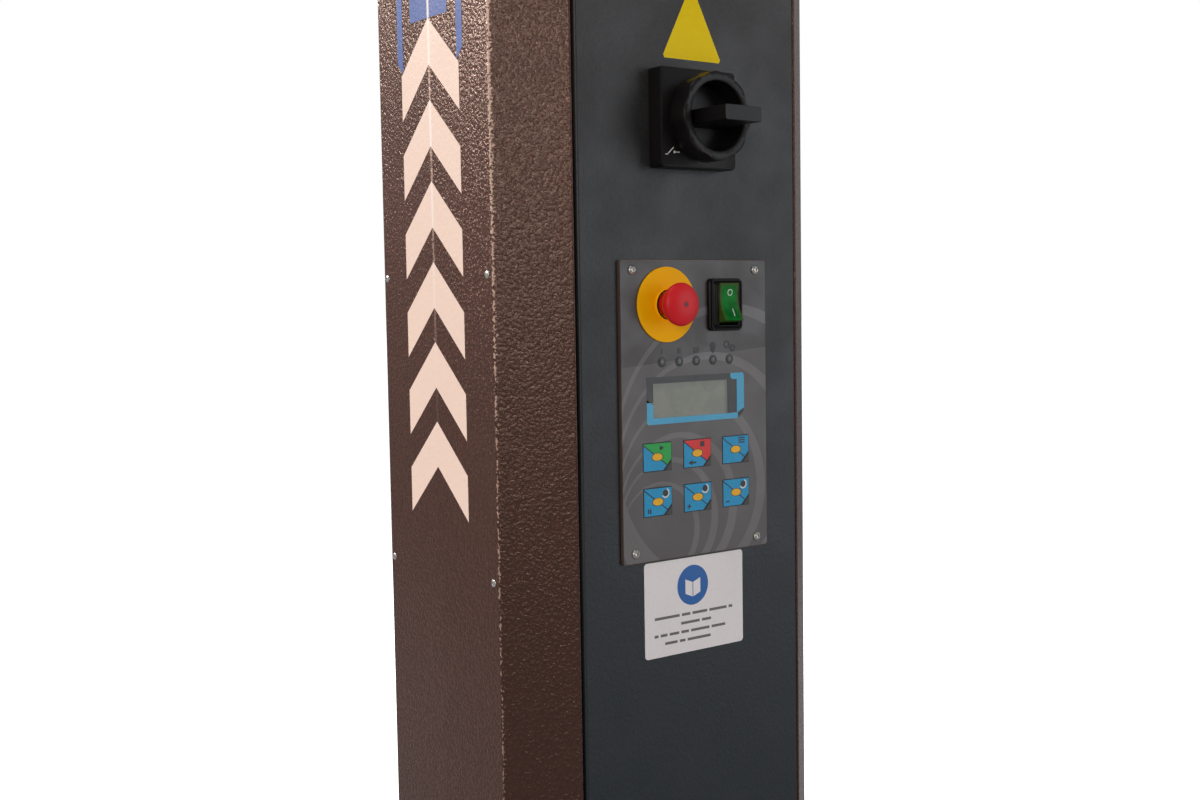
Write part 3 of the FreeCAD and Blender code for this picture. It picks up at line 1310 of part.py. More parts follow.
def make_stop_stem():
    """Plunger of the emergency stop; the red head turns on its tip."""
    body = control_body("estop_stem", "stop_x", "stop_z")
    profile = sketch_on(body, "XY_Plane")
    tip = "-collar_front - 9"
    outline(profile, [("0", "38"), ("stop_stem", "38"), ("stop_stem", "-collar_front"),
                      ("stop_stem", tip), ("0", tip)])
    turn(body, profile)


def make_stop_head():
    """Mushroom head that flares out from its neck, bored from behind for the plunger."""
    body = control_body("estop_button", "stop_x", "stop_z")
    profile = sketch_on(body, "XY_Plane")
    bore = "stop_stem + running_gap"
    near = "-overlay_front - disc_skin - moving_gap"
    flare = "-overlay_front - disc_skin - collar_floor - stop_stroke - moving_gap"
    front = "-stop_reach"
    outline(profile, [(bore, near), ("stop_neck", near), ("stop_neck", flare),
                      ("collar_bore - 0.6", flare + " - 1.4"), ("stop_head*0.9", flare + " - 3.6"),
                      ("stop_head*0.98", flare + " - 6"), ("stop_head", flare + " - 8"),
                      ("stop_head", front + " + 7"), ("stop_head*0.94", front + " + 4.5"),
                      ("stop_head*0.7", front + " + 1"), ("stop_head*0.35", front), ("0", front),
                      ("0", "-collar_front - 9.3"), (bore, "-collar_front - 9.3")])
    turn(body, profile)


def make_rocker_boot():
    """Housing of the rocker switch with its raised boot and the hollow that the cap rocks in."""
    body = control_body("rocker_boot", "rocker_x", "rocker_z")
    boot = sketch_on(body, "XZ_Plane", "overlay_front")
    rectangle(boot, "-boot_width/2", "-boot_height/2", "boot_width/2", "boot_height/2")
    pad(body, boot, "boot_rise")
    rounded(body, "4", lambda edge: corner_edge(edge, value("boot_width/2"), value("boot_height/2")))
    case = sketch_on(body, "XZ_Plane", "overlay_front")
    rectangle(case, "-rocker_width/2 - 2.8", "-rocker_height/2 - 3.8",
              "rocker_width/2 + 2.8", "rocker_height/2 + 3.8")
    pad(body, case, "overlay_front + 26", True)
    hollow = sketch_on(body, "XZ_Plane", "overlay_front + boot_rise")
    rectangle(hollow, "-rocker_width/2 - 0.4", "-rocker_height/2 - 2",
              "rocker_width/2 + 0.4", "rocker_height/2 + 2")
    pocket(body, hollow, "overlay_front + boot_rise + 8")


def make_rocker_cap():
    """Green cap with a dip across its middle; it rests with its lower end out."""
    body = control_body("rocker_cap", "rocker_x", "rocker_z")
    section = sketch_on(body, "YZ_Plane", "-rocker_width/2")
    end = "rocker_height/2"
    outline(section, [("-rocker_rise", "-" + end), ("1", "-" + end), ("4", "-rocker_height/4"),
                      ("4", "rocker_height/4"), ("1", end), ("-rocker_rise", end),
                      ("-rocker_rise + rocker_dip*0.85", end + "*0.4"), ("-rocker_rise + rocker_dip", "0"),
                      ("-rocker_rise + rocker_dip*0.85", "-" + end + "*0.4")])
    pad(body, section, "rocker_width")
    body.setExpression("Placement.Rotation.Angle", bind("-rocker_tilt"))
    body.Placement.Rotation.Axis = FreeCAD.Vector(1, 0, 0)
    return body


def make_switch_base():
    """Square plate of the main switch, its neck through the panel and its contact block."""
    body = body_named("switch_base", "switch_x", "front_y", "switch_z")
    plate = sketch_on(body, "XZ_Plane", "0")
    half = "switch_plate/2"
    rectangle(plate, "-" + half, "-" + half, half, half)
    pad(body, plate, "switch_rise")
    rounded(body, "4", lambda edge: corner_edge(edge, value(half), value(half)))
    neck = sketch_on(body, "XZ_Plane", "0")
    circle(neck, "0", "0", "stop_barrel")
    pad(body, neck, "8", True)
    block = sketch_on(body, "XZ_Plane", "-8")
    rectangle(block, "-28", "-32", "28", "32")
    pad(body, block, "60", True)
    bore = sketch_on(body, "XZ_Plane", "switch_rise")
    circle(bore, "0", "0", "switch_shaft + running_gap")
    pocket(body, bore, "switch_rise + 42")


def make_switch_handle():
    """Lobed cup with the bar across it, and the shaft behind."""
    body = body_named("switch_handle", "switch_x", "front_y", "switch_z")
    floor = "switch_rise + moving_gap"
    cup = sketch_on(body, "XZ_Plane", floor)
    circle(cup, "0", "0", "cup_radius")
    pad(body, cup, "cup_reach - switch_rise - moving_gap")
    for turned in (45, 165, 285):
        lobe = sketch_on(body, "XZ_Plane", floor)
        circle(lobe, "(cup_radius - 7)*%.9f" % math.cos(math.radians(turned)),
               "(cup_radius - 7)*%.9f" % math.sin(math.radians(turned)), "9")
        pad(body, lobe, "cup_reach - switch_rise - moving_gap - 2")
    hollow = sketch_on(body, "XZ_Plane", "cup_reach")
    circle(hollow, "0", "0", "cup_bore")
    pocket(body, hollow, "cup_reach - switch_rise - 4")
    bar = sketch_on(body, "XZ_Plane", floor)
    rectangle(bar, "-bar_length/2", "-bar_width/2", "bar_length/2", "bar_width/2")
    pad(body, bar, "bar_reach - switch_rise - moving_gap")
    shaft = sketch_on(body, "XZ_Plane", floor)
    circle(shaft, "0", "0", "switch_shaft")
    pad(body, shaft, "switch_rise + moving_gap + 38", True)


# ---- the whole machine ---------------------------------------------------------------------------

make_base_frame()
make_base_cover()
make_spindle()
make_roller_brackets()
for roller in range(1, ROLLER_COUNT + 1):
    make_support_roller(roller)
make_turntable_plate()
make_turntable_frame()
make_turntable_sprocket()
make_drive_sprocket()
make_drive_chain()
make_table_gearmotor()
make_mast_foot()
make_foot_bolts()
make_mast_column()
make_side_panel("side_panel_left", -1)
make_side_panel("side_panel_right", 1)
make_front_panel()
make_mast_cap()
make_side_screws()
make_guide_rails()
make_carriage_frame()
make_slide_shoes()
make_belt_clamp()
make_film_spindle()
make_reel_core()
make_roller("brake_roller", "brake_x", "brake_y", "brake_radius", "housing_height*0.6")
make_roller("idle_roller", "idle_x", "idle_y", "idle_radius", "0")
make_brake_housing()
make_brake_knob()
make_photocell()
make_lift_gearmotor()
make_lift_pulley()
make_idler_pulley()
make_idler_bracket()
make_lift_belt()
make_mounting_plate()
make_inverters()
make_cable_gland()
make_control_plate()
make_control_overlay()
make_display_window()
make_control_board()
make_plate_screws()
for key in range(1, 7):
    make_key(key)
make_stop_disc()
make_stop_body()
make_stop_stem()
make_stop_head()
make_rocker_boot()
make_rocker_cap()
make_switch_base()
make_switch_handle()

document.recompute()
for item in document.Objects:
    if "Invalid" in item.State or "Error" in item.State:
        raise ValueError("%s is %s" % (item.Label, item.State))

# Sub-parts are the bodies, compounds, cuts and shapes that no compound is made from.
used = set()
for item in document.Objects:
    if item.TypeId == "Part::Compound":
        used.update(link.Name for link in item.Links)
kinds = ("PartDesign::Body", "Part::Compound", "Part::Cut", "Part::Feature")
parts = [item for item in document.Objects if item.TypeId in kinds and item.Name not in used]
for item in parts:
    if item.Shape.isNull() or not item.Shape.isValid():
        raise ValueError(item.Label + " has no valid shape")

os.makedirs("parts", exist_ok=True)
for item in parts:
    item.Shape.exportStep("parts/%s.step" % item.Label)
print(len(parts), "sub-parts")
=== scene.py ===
"""Looks of a turntable pallet wrapper: paint, printed panels, controls and fittings round its CAD frame.

Meshes and materials are written in millimetres in the row frame: Z up, the turntable's axis at
X = Y = 0, and the operator's face of the mast towards -Y. box and front_of turn the frame's metres
into millimetres, and Finish, soften and add turn them back. The stage, the lights and the camera
are in metres.
"""
import json
import math
from itertools import product

import bmesh
import bpy
from mathutils import Matrix, Vector
from mathutils.bvhtree import BVHTree


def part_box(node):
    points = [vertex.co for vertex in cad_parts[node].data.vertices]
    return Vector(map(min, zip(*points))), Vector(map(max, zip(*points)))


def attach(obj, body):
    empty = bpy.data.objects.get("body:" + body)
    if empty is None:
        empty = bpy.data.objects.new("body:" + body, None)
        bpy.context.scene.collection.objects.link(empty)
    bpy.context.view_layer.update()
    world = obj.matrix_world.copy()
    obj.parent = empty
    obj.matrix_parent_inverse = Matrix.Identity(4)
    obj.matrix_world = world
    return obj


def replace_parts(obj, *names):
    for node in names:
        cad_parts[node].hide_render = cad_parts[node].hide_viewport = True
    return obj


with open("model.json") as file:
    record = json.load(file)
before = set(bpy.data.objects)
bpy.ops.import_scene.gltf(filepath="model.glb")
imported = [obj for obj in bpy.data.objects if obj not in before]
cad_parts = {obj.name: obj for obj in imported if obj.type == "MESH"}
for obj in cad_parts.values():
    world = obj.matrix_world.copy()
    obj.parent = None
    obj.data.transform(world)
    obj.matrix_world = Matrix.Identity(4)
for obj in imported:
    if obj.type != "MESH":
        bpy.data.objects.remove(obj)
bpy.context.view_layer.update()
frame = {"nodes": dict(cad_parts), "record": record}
nodes = frame["nodes"]
SLOTS = {part["node"]: part["material_slot"] for part in frame["record"]["subparts"]}
MM = 0.001
MACHINE = "machine"


def box(name):
    """Lowest and highest corners of a CAD node at rest, in millimetres."""
    return [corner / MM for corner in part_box(name)]


def middle_of(name):
    low, high = box(name)
    return (low + high) / 2


PLATE_MID = middle_of("control_plate")
FACE_Y = box("front_panel")[0].y
OVERLAY_Y = box("control_overlay")[0].y
SIDE_LOW, SIDE_HIGH = box("side_panel_left")
FOLD_Y = SIDE_LOW.y + 40.2
CREASE_Y = (FOLD_Y + SIDE_HIGH.y) / 2
SIDE_REACH = 165
SIDE_CROWN = 0.8
CAP_EDGE = 2268
LAMP_X, LAMP_PITCH = -36, 18
SWITCH_PLATE = ((78.0, 3.4, 0.0), (78.0, 3.4, 13.6), (77.4, 3.1, 14.6), (76.2, 2.6, 15.0))
OVERLAY_ARCS = ((120, 9.5), (98, 7.5), (79, 6.5), (62.5, 6.0), (51.5, 5.0), (41, 4.0))
SHARP = math.radians(38)
HEX_TURN = math.radians(60)


# ---- materials

class Finish:
    """A node material on a Principled shader. Methods return sockets, so they can be put together."""

    def __init__(self, name, colour, rough, metal=0.0, **settings):
        self.name = name
        self.material = bpy.data.materials.new(name)
        self.material.use_nodes = True
        self.material.diffuse_color = (*colour, 1.0)
        self.nodes = self.material.node_tree.nodes
        self.links = self.material.node_tree.links
        self.shader = next(n for n in self.nodes if n.type == "BSDF_PRINCIPLED")
        self.shader.inputs["Base Color"].default_value = (*colour, 1.0)
        self.shader.inputs["Roughness"].default_value = rough
        self.shader.inputs["Metallic"].default_value = metal
        for key, number in settings.items():
            self.shader.inputs[key.replace("_", " ").title().replace("Ior", "IOR")].default_value = number
        metres = self.nodes.new("ShaderNodeTexCoord").outputs["Object"]
        self.place = self.stretched(metres, (1 / MM, 1 / MM, 1 / MM))

    def put(self, socket, given):
        if isinstance(given, bpy.types.NodeSocket):
            self.links.new(given, socket)
        elif isinstance(given, tuple) and socket.type == "RGBA":
            socket.default_value = (*given, 1.0)
        else:
            socket.default_value = given

    def node(self, kind, *inputs, **properties):
        made = self.nodes.new(kind)
        for key, chosen in properties.items():
            setattr(made, key, chosen)
        for index, given in enumerate(inputs):
            if given is not None:
                self.put(made.inputs[index], given)
        return made

    def math(self, operation, first, second=0.0, third=None):
        return self.node("ShaderNodeMath", first, second, third, operation=operation).outputs[0]

    def times(self, first, second):
        return self.math("MULTIPLY", first, second)

    def minus(self, first, second):
        return self.math("SUBTRACT", first, second)

    def stretched(self, place, factors):
        return self.node("ShaderNodeVectorMath", place, factors, operation="MULTIPLY").outputs[0]

    def axis(self, name):
        """The X, Y or Z of the place on the surface, in the row frame at rest."""
        return self.node("ShaderNodeSeparateXYZ", self.place).outputs[name]

    def past(self, name, start):
        """How far the place lies past this start along an axis."""
        return self.minus(self.axis(name), start)

    def off(self, name, start):
        """How far the place lies from this start along an axis, to either side."""
        return self.math("ABSOLUTE", self.past(name, start))

    def reach(self, x, z):
        """How far the place lies from this point, seen from the operator's side."""
        flat = self.stretched(self.place, (1.0, 0.0, 1.0))
        return self.node("ShaderNodeVectorMath", flat, (x, 0.0, z), operation="DISTANCE").outputs["Value"]

    def noise(self, size, detail=2.0, stretch=None, roughness=0.55):
        """Noise from 0 to 1 with features of about this size."""
        place = self.stretched(self.place, stretch) if stretch else self.place
        made = self.node("ShaderNodeTexNoise", place)
        made.inputs["Scale"].default_value = 1.0 / size
        made.inputs["Detail"].default_value = detail
        made.inputs["Roughness"].default_value = roughness
        return made.outputs["Fac"]

    def step(self, value, low, high, to_low=0.0, to_high=1.0):
        """A smooth step of value from low to high."""
        made = self.node("ShaderNodeMapRange", value, low, high, to_low, to_high,
                         interpolation_type="SMOOTHSTEP")
        return made.outputs[0]

    def mix(self, amount, first, second):
        made = self.node("ShaderNodeMix", data_type="RGBA")
        self.put(made.inputs[0], amount)
        self.put(made.inputs[6], first)
        self.put(made.inputs[7], second)
        return made.outputs[2]

    def colour(self, socket):
        self.links.new(socket, self.shader.inputs["Base Color"])

    def rough(self, socket):
        self.links.new(socket, self.shader.inputs["Roughness"])

    def bump(self, height, distance, strength=1.0):
        """Bump of this depth, on top of any bump made before."""
        made = self.node("ShaderNodeBump")
        made.inputs["Strength"].default_value = strength
        made.inputs["Distance"].default_value = distance * MM
        self.links.new(height, made.inputs["Height"])
        normal = self.shader.inputs["Normal"]
        if normal.is_linked:
            self.links.new(normal.links[0].from_socket, made.inputs["Normal"])
        self.links.new(made.outputs[0], normal)


def srgb(red, green, blue):
    """Linear colour of an 8-bit display colour."""
    def linear(level):
        level /= 255.0
        return level / 12.92 if level <= 0.04045 else ((level + 0.055) / 1.055) ** 2.4
    return linear(red), linear(green), linear(blue)


def scaled(colour, factor):
    return tuple(channel * factor for channel in colour)


def plain_finish(name, colour, rough, metal=0.0, grain=2, depth=0.02, shade=0.12,
                 stretch=None, **settings):
    """A finish with slow colour variation, uneven gloss and fine grain."""
    made = Finish(name, colour, rough, metal, **settings)
    slow = made.noise(60, 3.0)
    fine = made.noise(grain, 3.0, stretch)
    tone = made.math("MULTIPLY_ADD", fine, 0.5, made.times(slow, 0.5))
    made.colour(made.mix(made.step(tone, 0.3, 0.7), scaled(colour, 1 - shade), scaled(colour, 1 + shade)))
    made.rough(made.step(slow, 0.3, 0.7, rough * 0.88, min(1.0, rough * 1.12)))
    made.bump(fine, depth)
    return made


def steel_finish(name, colour, rough, stretch, grain=1, **settings):
    """Turned or brushed steel, with fine scratches along one direction and a few dull spots."""
    made = Finish(name, colour, rough, 1.0, **settings)
    brushed = made.noise(grain, 3.0, stretch)
    dull = made.noise(40, 2.0)
    made.colour(made.mix(made.step(dull, 0.3, 0.75), scaled(colour, 1.04), scaled(colour, 0.86)))
    spots = made.step(dull, 0.4, 0.8, 0.0, 0.1)
    made.rough(made.math("ADD", made.step(brushed, 0.2, 0.8, rough * 0.85, rough * 1.15), spots))
    made.bump(brushed, 0.004, 0.3)
    return made


def mast_paint():
    """Red-brown hammered enamel of the mast's sides, with orange peel; painted shade towards the bottom,
    painted glints, and painted highlights along the crease and the fold.
    """
    made = Finish("mast_paint", srgb(92, 60, 50), 0.28, 0.0, specular_ior_level=0.45,
                  specular_tint=(1.0, 0.8, 0.7, 1.0))
    height = made.axis("Z")
    depth = made.axis("Y")
    peel = made.noise(2.7, 2.0, roughness=0.5)
    fine = made.noise(1.1, 1.0)
    patch = made.noise(90, 3.0)
    low = srgb(64, 40, 34)
    # Painted shade and light: the colour runs from the dark bottom colour to a lighter one towards the top,
    # standing in for how the light falls on the sides.
    base = made.mix(made.step(height, 700, 1900), low, srgb(98, 62, 50))
    base = made.mix(made.step(patch, 0.3, 0.7, 0.0, 0.3), base, scaled(low, 1.05))
    base = made.mix(made.step(peel, 0.4, 0.6, 0.0, 0.55), base, scaled(low, 0.6))
    # Painted glints: bright specks near the fold and towards the top, standing in for light caught by the
    # orange peel.
    painted_glint = made.step(made.noise(1.8, 1.0), 0.62, 0.69)
    side = made.step(depth, FOLD_Y - 3, FOLD_Y + 1)
    toward = made.step(depth, FOLD_Y + 120, FOLD_Y + 10, 0.3, 1.0)
    upward = made.step(height, 1150, 1750)
    amount = made.times(made.times(painted_glint, side), made.times(toward, upward))
    base = made.mix(amount, base, srgb(255, 214, 194))
    below = made.step(height, CAP_EDGE, CAP_EDGE - 6)
    # Painted highlight: a pale feathered streak along the side's crease, standing in for light caught by the
    # ridge.
    feather = made.math("MULTIPLY_ADD", made.noise(2.2, 2.0), 5, made.off("Y", CREASE_Y))
    crease_highlight = made.times(made.step(feather, 4.8, 2.6), made.step(height, 1200, 1700))
    base = made.mix(made.times(made.times(crease_highlight, below), 0.9), base, srgb(244, 214, 198))
    # Painted highlight: pale dots along the fold between the side and its slanted face, strongest towards
    # the top, standing in for light on the bend.
    wide = made.step(height, 1100, 1700, 0.0, 1.0)
    fold_shine_reach = made.math("MULTIPLY_ADD", made.noise(2.0, 1.0), 6, made.off("Y", FOLD_Y))
    fold_highlight = made.times(made.step(made.minus(fold_shine_reach, wide), 3.5, 2.7), below)
    fold_highlight = made.times(fold_highlight, made.step(height, 900, 1600, 0.3, 0.9))
    made.colour(made.mix(fold_highlight, base, srgb(240, 206, 188)))
    made.rough(made.step(peel, 0.3, 0.7, 0.2, 0.34))
    made.bump(peel, 0.76)
    made.bump(fine, 0.12, 0.8)
    return made


def front_paint():
    """Anthracite satin powder coat with a shallow orange peel, and painted shade: darker and cooler towards
    the bottom.
    """
    made = Finish("front_paint", srgb(45, 47, 48), 0.46)
    height = made.axis("Z")
    peel = made.noise(3.0, 2.0)
    patch = made.noise(70, 4.0)
    # Painted shade: darker and bluer towards the bottom, lighter and warmer towards the top, standing in for
    # the light.
    base = made.mix(made.step(height, 950, 1750), srgb(18, 30, 37), srgb(42, 38, 36))
    base = made.mix(made.step(patch, 0.35, 0.75, 0.0, 0.25), base, srgb(58, 60, 60))
    base = made.mix(made.step(peel, 0.4, 0.62, 0.0, 0.35), base, srgb(24, 27, 30))
    made.colour(base)
    made.rough(made.step(patch, 0.3, 0.7, 0.40, 0.52))
    made.bump(peel, 0.3, 0.7)
    return made


def powder_coat(name, colour, rough=0.5):
    """Textured powder coat of the base and carriage, scuffed where a noise says so."""
    made = Finish(name, colour, rough)
    peel = made.noise(2.8, 2.0)
    dust = made.noise(140, 4.0)
    scuff = made.step(made.noise(9, 4.0, (1.0, 1.0, 4.0)), 0.66, 0.74)
    base = made.mix(made.step(dust, 0.3, 0.75, 0.0, 0.5), scaled(colour, 0.85), scaled(colour, 1.35))
    base = made.mix(made.step(peel, 0.4, 0.62, 0.0, 0.3), base, scaled(colour, 0.6))
    made.colour(made.mix(made.times(scuff, 0.25), base, srgb(140, 138, 134)))
    made.rough(made.step(dust, 0.3, 0.7, rough * 0.85, rough * 1.2))
    made.bump(peel, 0.3, 0.8)
    return made


def overlay_film():
    """Dark printed film of the control plate: fine lines, nested lighter arcs and a darker upper field."""
    made = Finish("overlay_film", srgb(80, 76, 76), 0.34)
    patch = made.noise(30, 3.0)
    base = made.mix(made.step(patch, 0.3, 0.7), srgb(74, 70, 69), srgb(82, 78, 77))
    slope = made.math("MULTIPLY_ADD", made.past("X", PLATE_MID.x), -0.08, made.past("Z", PLATE_MID.z))
    base = made.mix(made.step(slope, 41.0, 42.2), base, srgb(53, 48, 47))
    lines = made.node("ShaderNodeTexWave", made.place, wave_type="BANDS", bands_direction="Z")
    lines.inputs["Scale"].default_value = 1 / 1.4
    base = made.mix(made.times(lines.outputs["Fac"], 0.18), base, srgb(124, 118, 117))
    arcs = 0.0
    for radius, width in OVERLAY_ARCS:
        shift = OVERLAY_ARCS[0][0] - radius
        x = PLATE_MID.x + 34.5 - 0.93 * shift
        z = PLATE_MID.z - 35 - 0.79 * shift
        outer = made.minus(radius, made.reach(x, z))
        inner = made.minus(made.reach(x - 0.55 * width, z + 0.16 * width), radius - width)
        band = made.step(made.math("MINIMUM", outer, inner), 0.0, 0.4)
        arcs = made.math("MAXIMUM", arcs, band)
    made.colour(made.mix(made.times(arcs, 0.3), base, srgb(140, 136, 136)))
    made.rough(made.step(patch, 0.3, 0.7, 0.28, 0.42))
    made.bump(made.noise(0.8, 2.0), 0.02, 0.5)
    return made


def window_glass():
    """The display: grey-green glass, with a painted shadow along its top and painted shade towards its right
    edge.
    """
    made = Finish("window_glass", srgb(118, 121, 106), 0.2)
    high = box("display_window")[1]
    glow = made.noise(14, 2.0)
    glass = made.mix(made.step(glow, 0.3, 0.7), srgb(108, 111, 96), srgb(124, 127, 111))
    # Painted shadow: darker along the top, where the window's recess throws shade.
    top = made.step(made.axis("Z"), high.z - 10, high.z - 2)
    glass = made.mix(made.times(top, 0.35), glass, srgb(84, 88, 80))
    # Painted shade: dark towards the right edge, where the bezel lies in shadow.
    right = made.step(made.axis("X"), high.x - 9, high.x - 2)
    made.colour(made.mix(right, glass, srgb(52, 54, 52)))
    made.rough(made.step(glow, 0.3, 0.7, 0.16, 0.24))
    made.bump(glow, 0.02, 0.4)
    return made


def key_finish(name, node, upper, lower):
    """A film key: two printed halves across a slanting dark line, with an orange oval in the middle."""
    made = Finish(name, lower, 0.36, specular_ior_level=0.3)
    middle = middle_of(node)
    across = made.past("X", middle.x)
    up = made.past("Z", middle.z)
    aside = made.math("ABSOLUTE", across)
    aloft = made.math("ABSOLUTE", up)
    half_x, half_z = 14.5, 11.25
    border = made.math("MINIMUM", made.minus(half_x, aside), made.minus(half_z, aloft))
    slant = made.math("MULTIPLY_ADD", across, (half_z - 1) / half_x, up)
    grain = made.noise(1.2, 2.0)
    base = made.mix(made.step(slant, -0.1, 0.1), lower, upper)
    base = made.mix(made.step(made.math("ABSOLUTE", slant), 0.7, 0.4), base, srgb(30, 32, 36))
    notch = made.math("ADD", made.minus(half_x, across), made.math("ADD", half_z, up))
    wide = made.math("POWER", made.math("DIVIDE", aside, 5.6), 2.0)
    tall = made.math("POWER", made.math("DIVIDE", aloft, 3.1), 2.0)
    oval = made.math("ADD", wide, tall)
    for value, start, end, colour in ((oval, 1.25, 1.1, (60, 56, 44)), (oval, 0.92, 0.82, (255, 190, 20)),
                                      (border, 0.5, 0.2, (40, 44, 50)), (notch, 9.4, 9.0, (14, 17, 20)),
                                      (notch, 6.9, 6.5, (72, 69, 69))):
        base = made.mix(made.step(value, start, end), base, srgb(*colour))
    made.colour(made.mix(made.step(grain, 0.35, 0.7, 0.0, 0.1), base, srgb(30, 50, 66)))
    made.rough(made.step(grain, 0.3, 0.7, 0.3, 0.42))
    made.bump(grain, 0.03, 0.5)
    return made


def red_head():
    """Red moulded plastic of the emergency stop, with a soft dark spot in the middle of its face."""
    made = plain_finish("red_head", srgb(226, 30, 38), 0.46, grain=1, shade=0.06, specular_ior_level=0.3)
    middle = middle_of("estop_button")
    spot = made.step(made.reach(middle.x, middle.z), 3.6, 0.6, 0.0, 0.75)
    plain = made.shader.inputs["Base Color"].links[0].from_socket
    made.colour(made.mix(spot, plain, srgb(60, 28, 30)))
    return made


def green_cap():
    """Clear green plastic of the lit rocker: darker and olive towards its edges."""
    made = Finish("green_cap", srgb(6, 118, 46), 0.42, specular_ior_level=0.1)
    low, high = box("rocker_cap")
    middle = (low + high) / 2
    edge = made.math("MINIMUM", made.minus(high.x - middle.x, made.off("X", middle.x)),
                     made.minus(high.z - middle.z, made.off("Z", middle.z)))
    cloud = made.noise(8, 2.0)
    base = made.mix(made.step(cloud, 0.3, 0.7), srgb(0, 100, 30), srgb(2, 130, 44))
    made.colour(made.mix(made.step(edge, 3.5, 0.5), base, srgb(66, 88, 34)))
    made.rough(made.step(cloud, 0.3, 0.7, 0.3, 0.42))
    made.bump(cloud, 0.05, 0.4)
    return made


FINISHES = {made.name: made for made in (
    mast_paint(),
    front_paint(),
    overlay_film(),
    window_glass(),
    red_head(),
    green_cap(),
    powder_coat("base_paint", srgb(48, 50, 54)),
    powder_coat("table_paint", srgb(52, 54, 58), 0.46),
    steel_finish("bright_steel", (0.6, 0.58, 0.55), 0.26, (1.0, 1.0, 0.08)),
    steel_finish("steel_gear", (0.32, 0.31, 0.3), 0.42, (1.0, 1.0, 0.2)),
    steel_finish("idle_steel", (0.68, 0.68, 0.67), 0.26, (1.0, 1.0, 0.02)),
    steel_finish("zinc_plate", (0.6, 0.6, 0.57), 0.34, (1.0, 1.0, 1.0), 3),
    # Painted light and shade: the plate is coloured darker and browner than bare aluminium, standing in for
    # the warm light and shade on its edges.
    plain_finish("plate_aluminium", srgb(104, 82, 72), 0.45, 0.4, grain=1),
    plain_finish("roller_nylon", srgb(222, 218, 204), 0.5, grain=1.5),
    plain_finish("motor_paint", srgb(86, 96, 104), 0.45, grain=3, depth=0.1),
    plain_finish("belt_rubber", srgb(24, 24, 25), 0.75, grain=1, depth=0.06),
    plain_finish("core_plastic", srgb(38, 40, 44), 0.42, grain=1.2),
    plain_finish("black_plastic", srgb(20, 18, 18), 0.38, grain=0.8, depth=0.03, shade=0.2,
                 specular_ior_level=0.25),
    plain_finish("boot_rubber", srgb(12, 12, 13), 0.42, grain=1, shade=0.2, specular_ior_level=0.2),
    # Painted light: a faint orange emission makes the disc glow, brighter than its colour alone gives.
    plain_finish("yellow_disc", srgb(255, 186, 0), 0.5, grain=1, shade=0.02, specular_ior_level=0.1,
                 emission_color=(1.0, 0.4, 0.0, 1.0), emission_strength=0.06),
    plain_finish("tread_worn", srgb(112, 112, 112), 0.4, 0.35, grain=2, shade=0.25),
    plain_finish("board_resin", srgb(28, 84, 48), 0.4, grain=1.5),
)}

KEY_BLUE, KEY_GREEN, KEY_RED = srgb(28, 158, 210), srgb(34, 176, 76), srgb(232, 52, 50)
KEY_UPPER = (KEY_GREEN, KEY_RED, KEY_BLUE, KEY_BLUE, KEY_BLUE, KEY_BLUE)


def print_finish(name, colour, rough=0.4, creased=False, gloss=0.5):
    """Printed vinyl that takes a little of the paint's unevenness, with a painted highlight along the side's
    crease.
    """
    made = Finish("print_" + name, colour, rough, specular_ior_level=gloss)
    wave = made.noise(3.4, 2.0)
    dirt = made.noise(45, 4.0)
    base = made.mix(made.step(dirt, 0.35, 0.8, 0.0, 0.3), colour, scaled(colour, 0.86))
    base = made.mix(made.step(wave, 0.5, 0.75, 0.0, 0.16), base, scaled(colour, 0.72))
    if creased:
        # Painted highlight: a near-white streak over the print along the side's crease, standing in for
        # light on the ridge.
        shine = made.times(made.step(made.off("Y", CREASE_Y), 2.2, 0.8),
                           made.step(made.axis("Z"), 1250, 1550, 0.0, 0.85))
        base = made.mix(shine, base, srgb(255, 250, 244))
    made.colour(base)
    made.rough(made.step(dirt, 0.3, 0.7, rough * 0.9, rough * 1.1))
    made.bump(wave, 0.3, 0.55)
    return made


CREAM = print_finish("cream", srgb(246, 222, 208), 0.45, creased=True)
BLUE = print_finish("blue", srgb(50, 94, 170), 0.45, creased=True)
YELLOW = print_finish("yellow", srgb(255, 220, 0), 0.5, gloss=0.15)
WHITE = print_finish("white", srgb(246, 240, 240))
SIGN_BLUE = print_finish("sign_blue", srgb(16, 98, 176))
FRAME_BLUE = print_finish("frame_blue", srgb(88, 178, 218), gloss=0.3)
GREY_INK = print_finish("grey", srgb(112, 106, 106))
CHARCOAL = print_finish("charcoal", srgb(58, 60, 60))
LENS = print_finish("lens", srgb(88, 90, 88), 0.3)
DARK_INK = print_finish("dark", srgb(34, 34, 36))
PALE_INK = print_finish("pale", srgb(226, 224, 220))


# ---- CAD nodes

def soften(name, width):
    """Round the sharp edges of a CAD node with modifiers."""
    weld = nodes[name].modifiers.new("weld", "WELD")
    weld.merge_threshold = 0.01 * MM
    edge = nodes[name].modifiers.new("edge", "BEVEL")
    edge.width = width * MM
    edge.segments = 2
    edge.limit_method = "ANGLE"
    edge.angle_limit = math.radians(35)
    edge.harden_normals = True


for name, width in (("control_plate", 0.3), ("estop_disc", 0.4), ("mast_cap", 0.8), ("base_frame", 1.2),
                    ("base_cover", 0.8), ("mast_foot", 1.0), ("photocell", 1.0), ("carriage_frame", 0.8),
                    ("turntable_plate", 1.5), ("table_gearmotor", 1.0)):
    soften(name, width)

for name, slot in SLOTS.items():
    finish = FINISHES.get(slot)
    if name.startswith("key_"):
        number = name[-1]
        finish = key_finish("key_film_" + number, name, KEY_UPPER[int(number) - 1], KEY_BLUE)
    nodes[name].data.materials.clear()
    nodes[name].data.materials.append(finish.material)


# ---- meshes

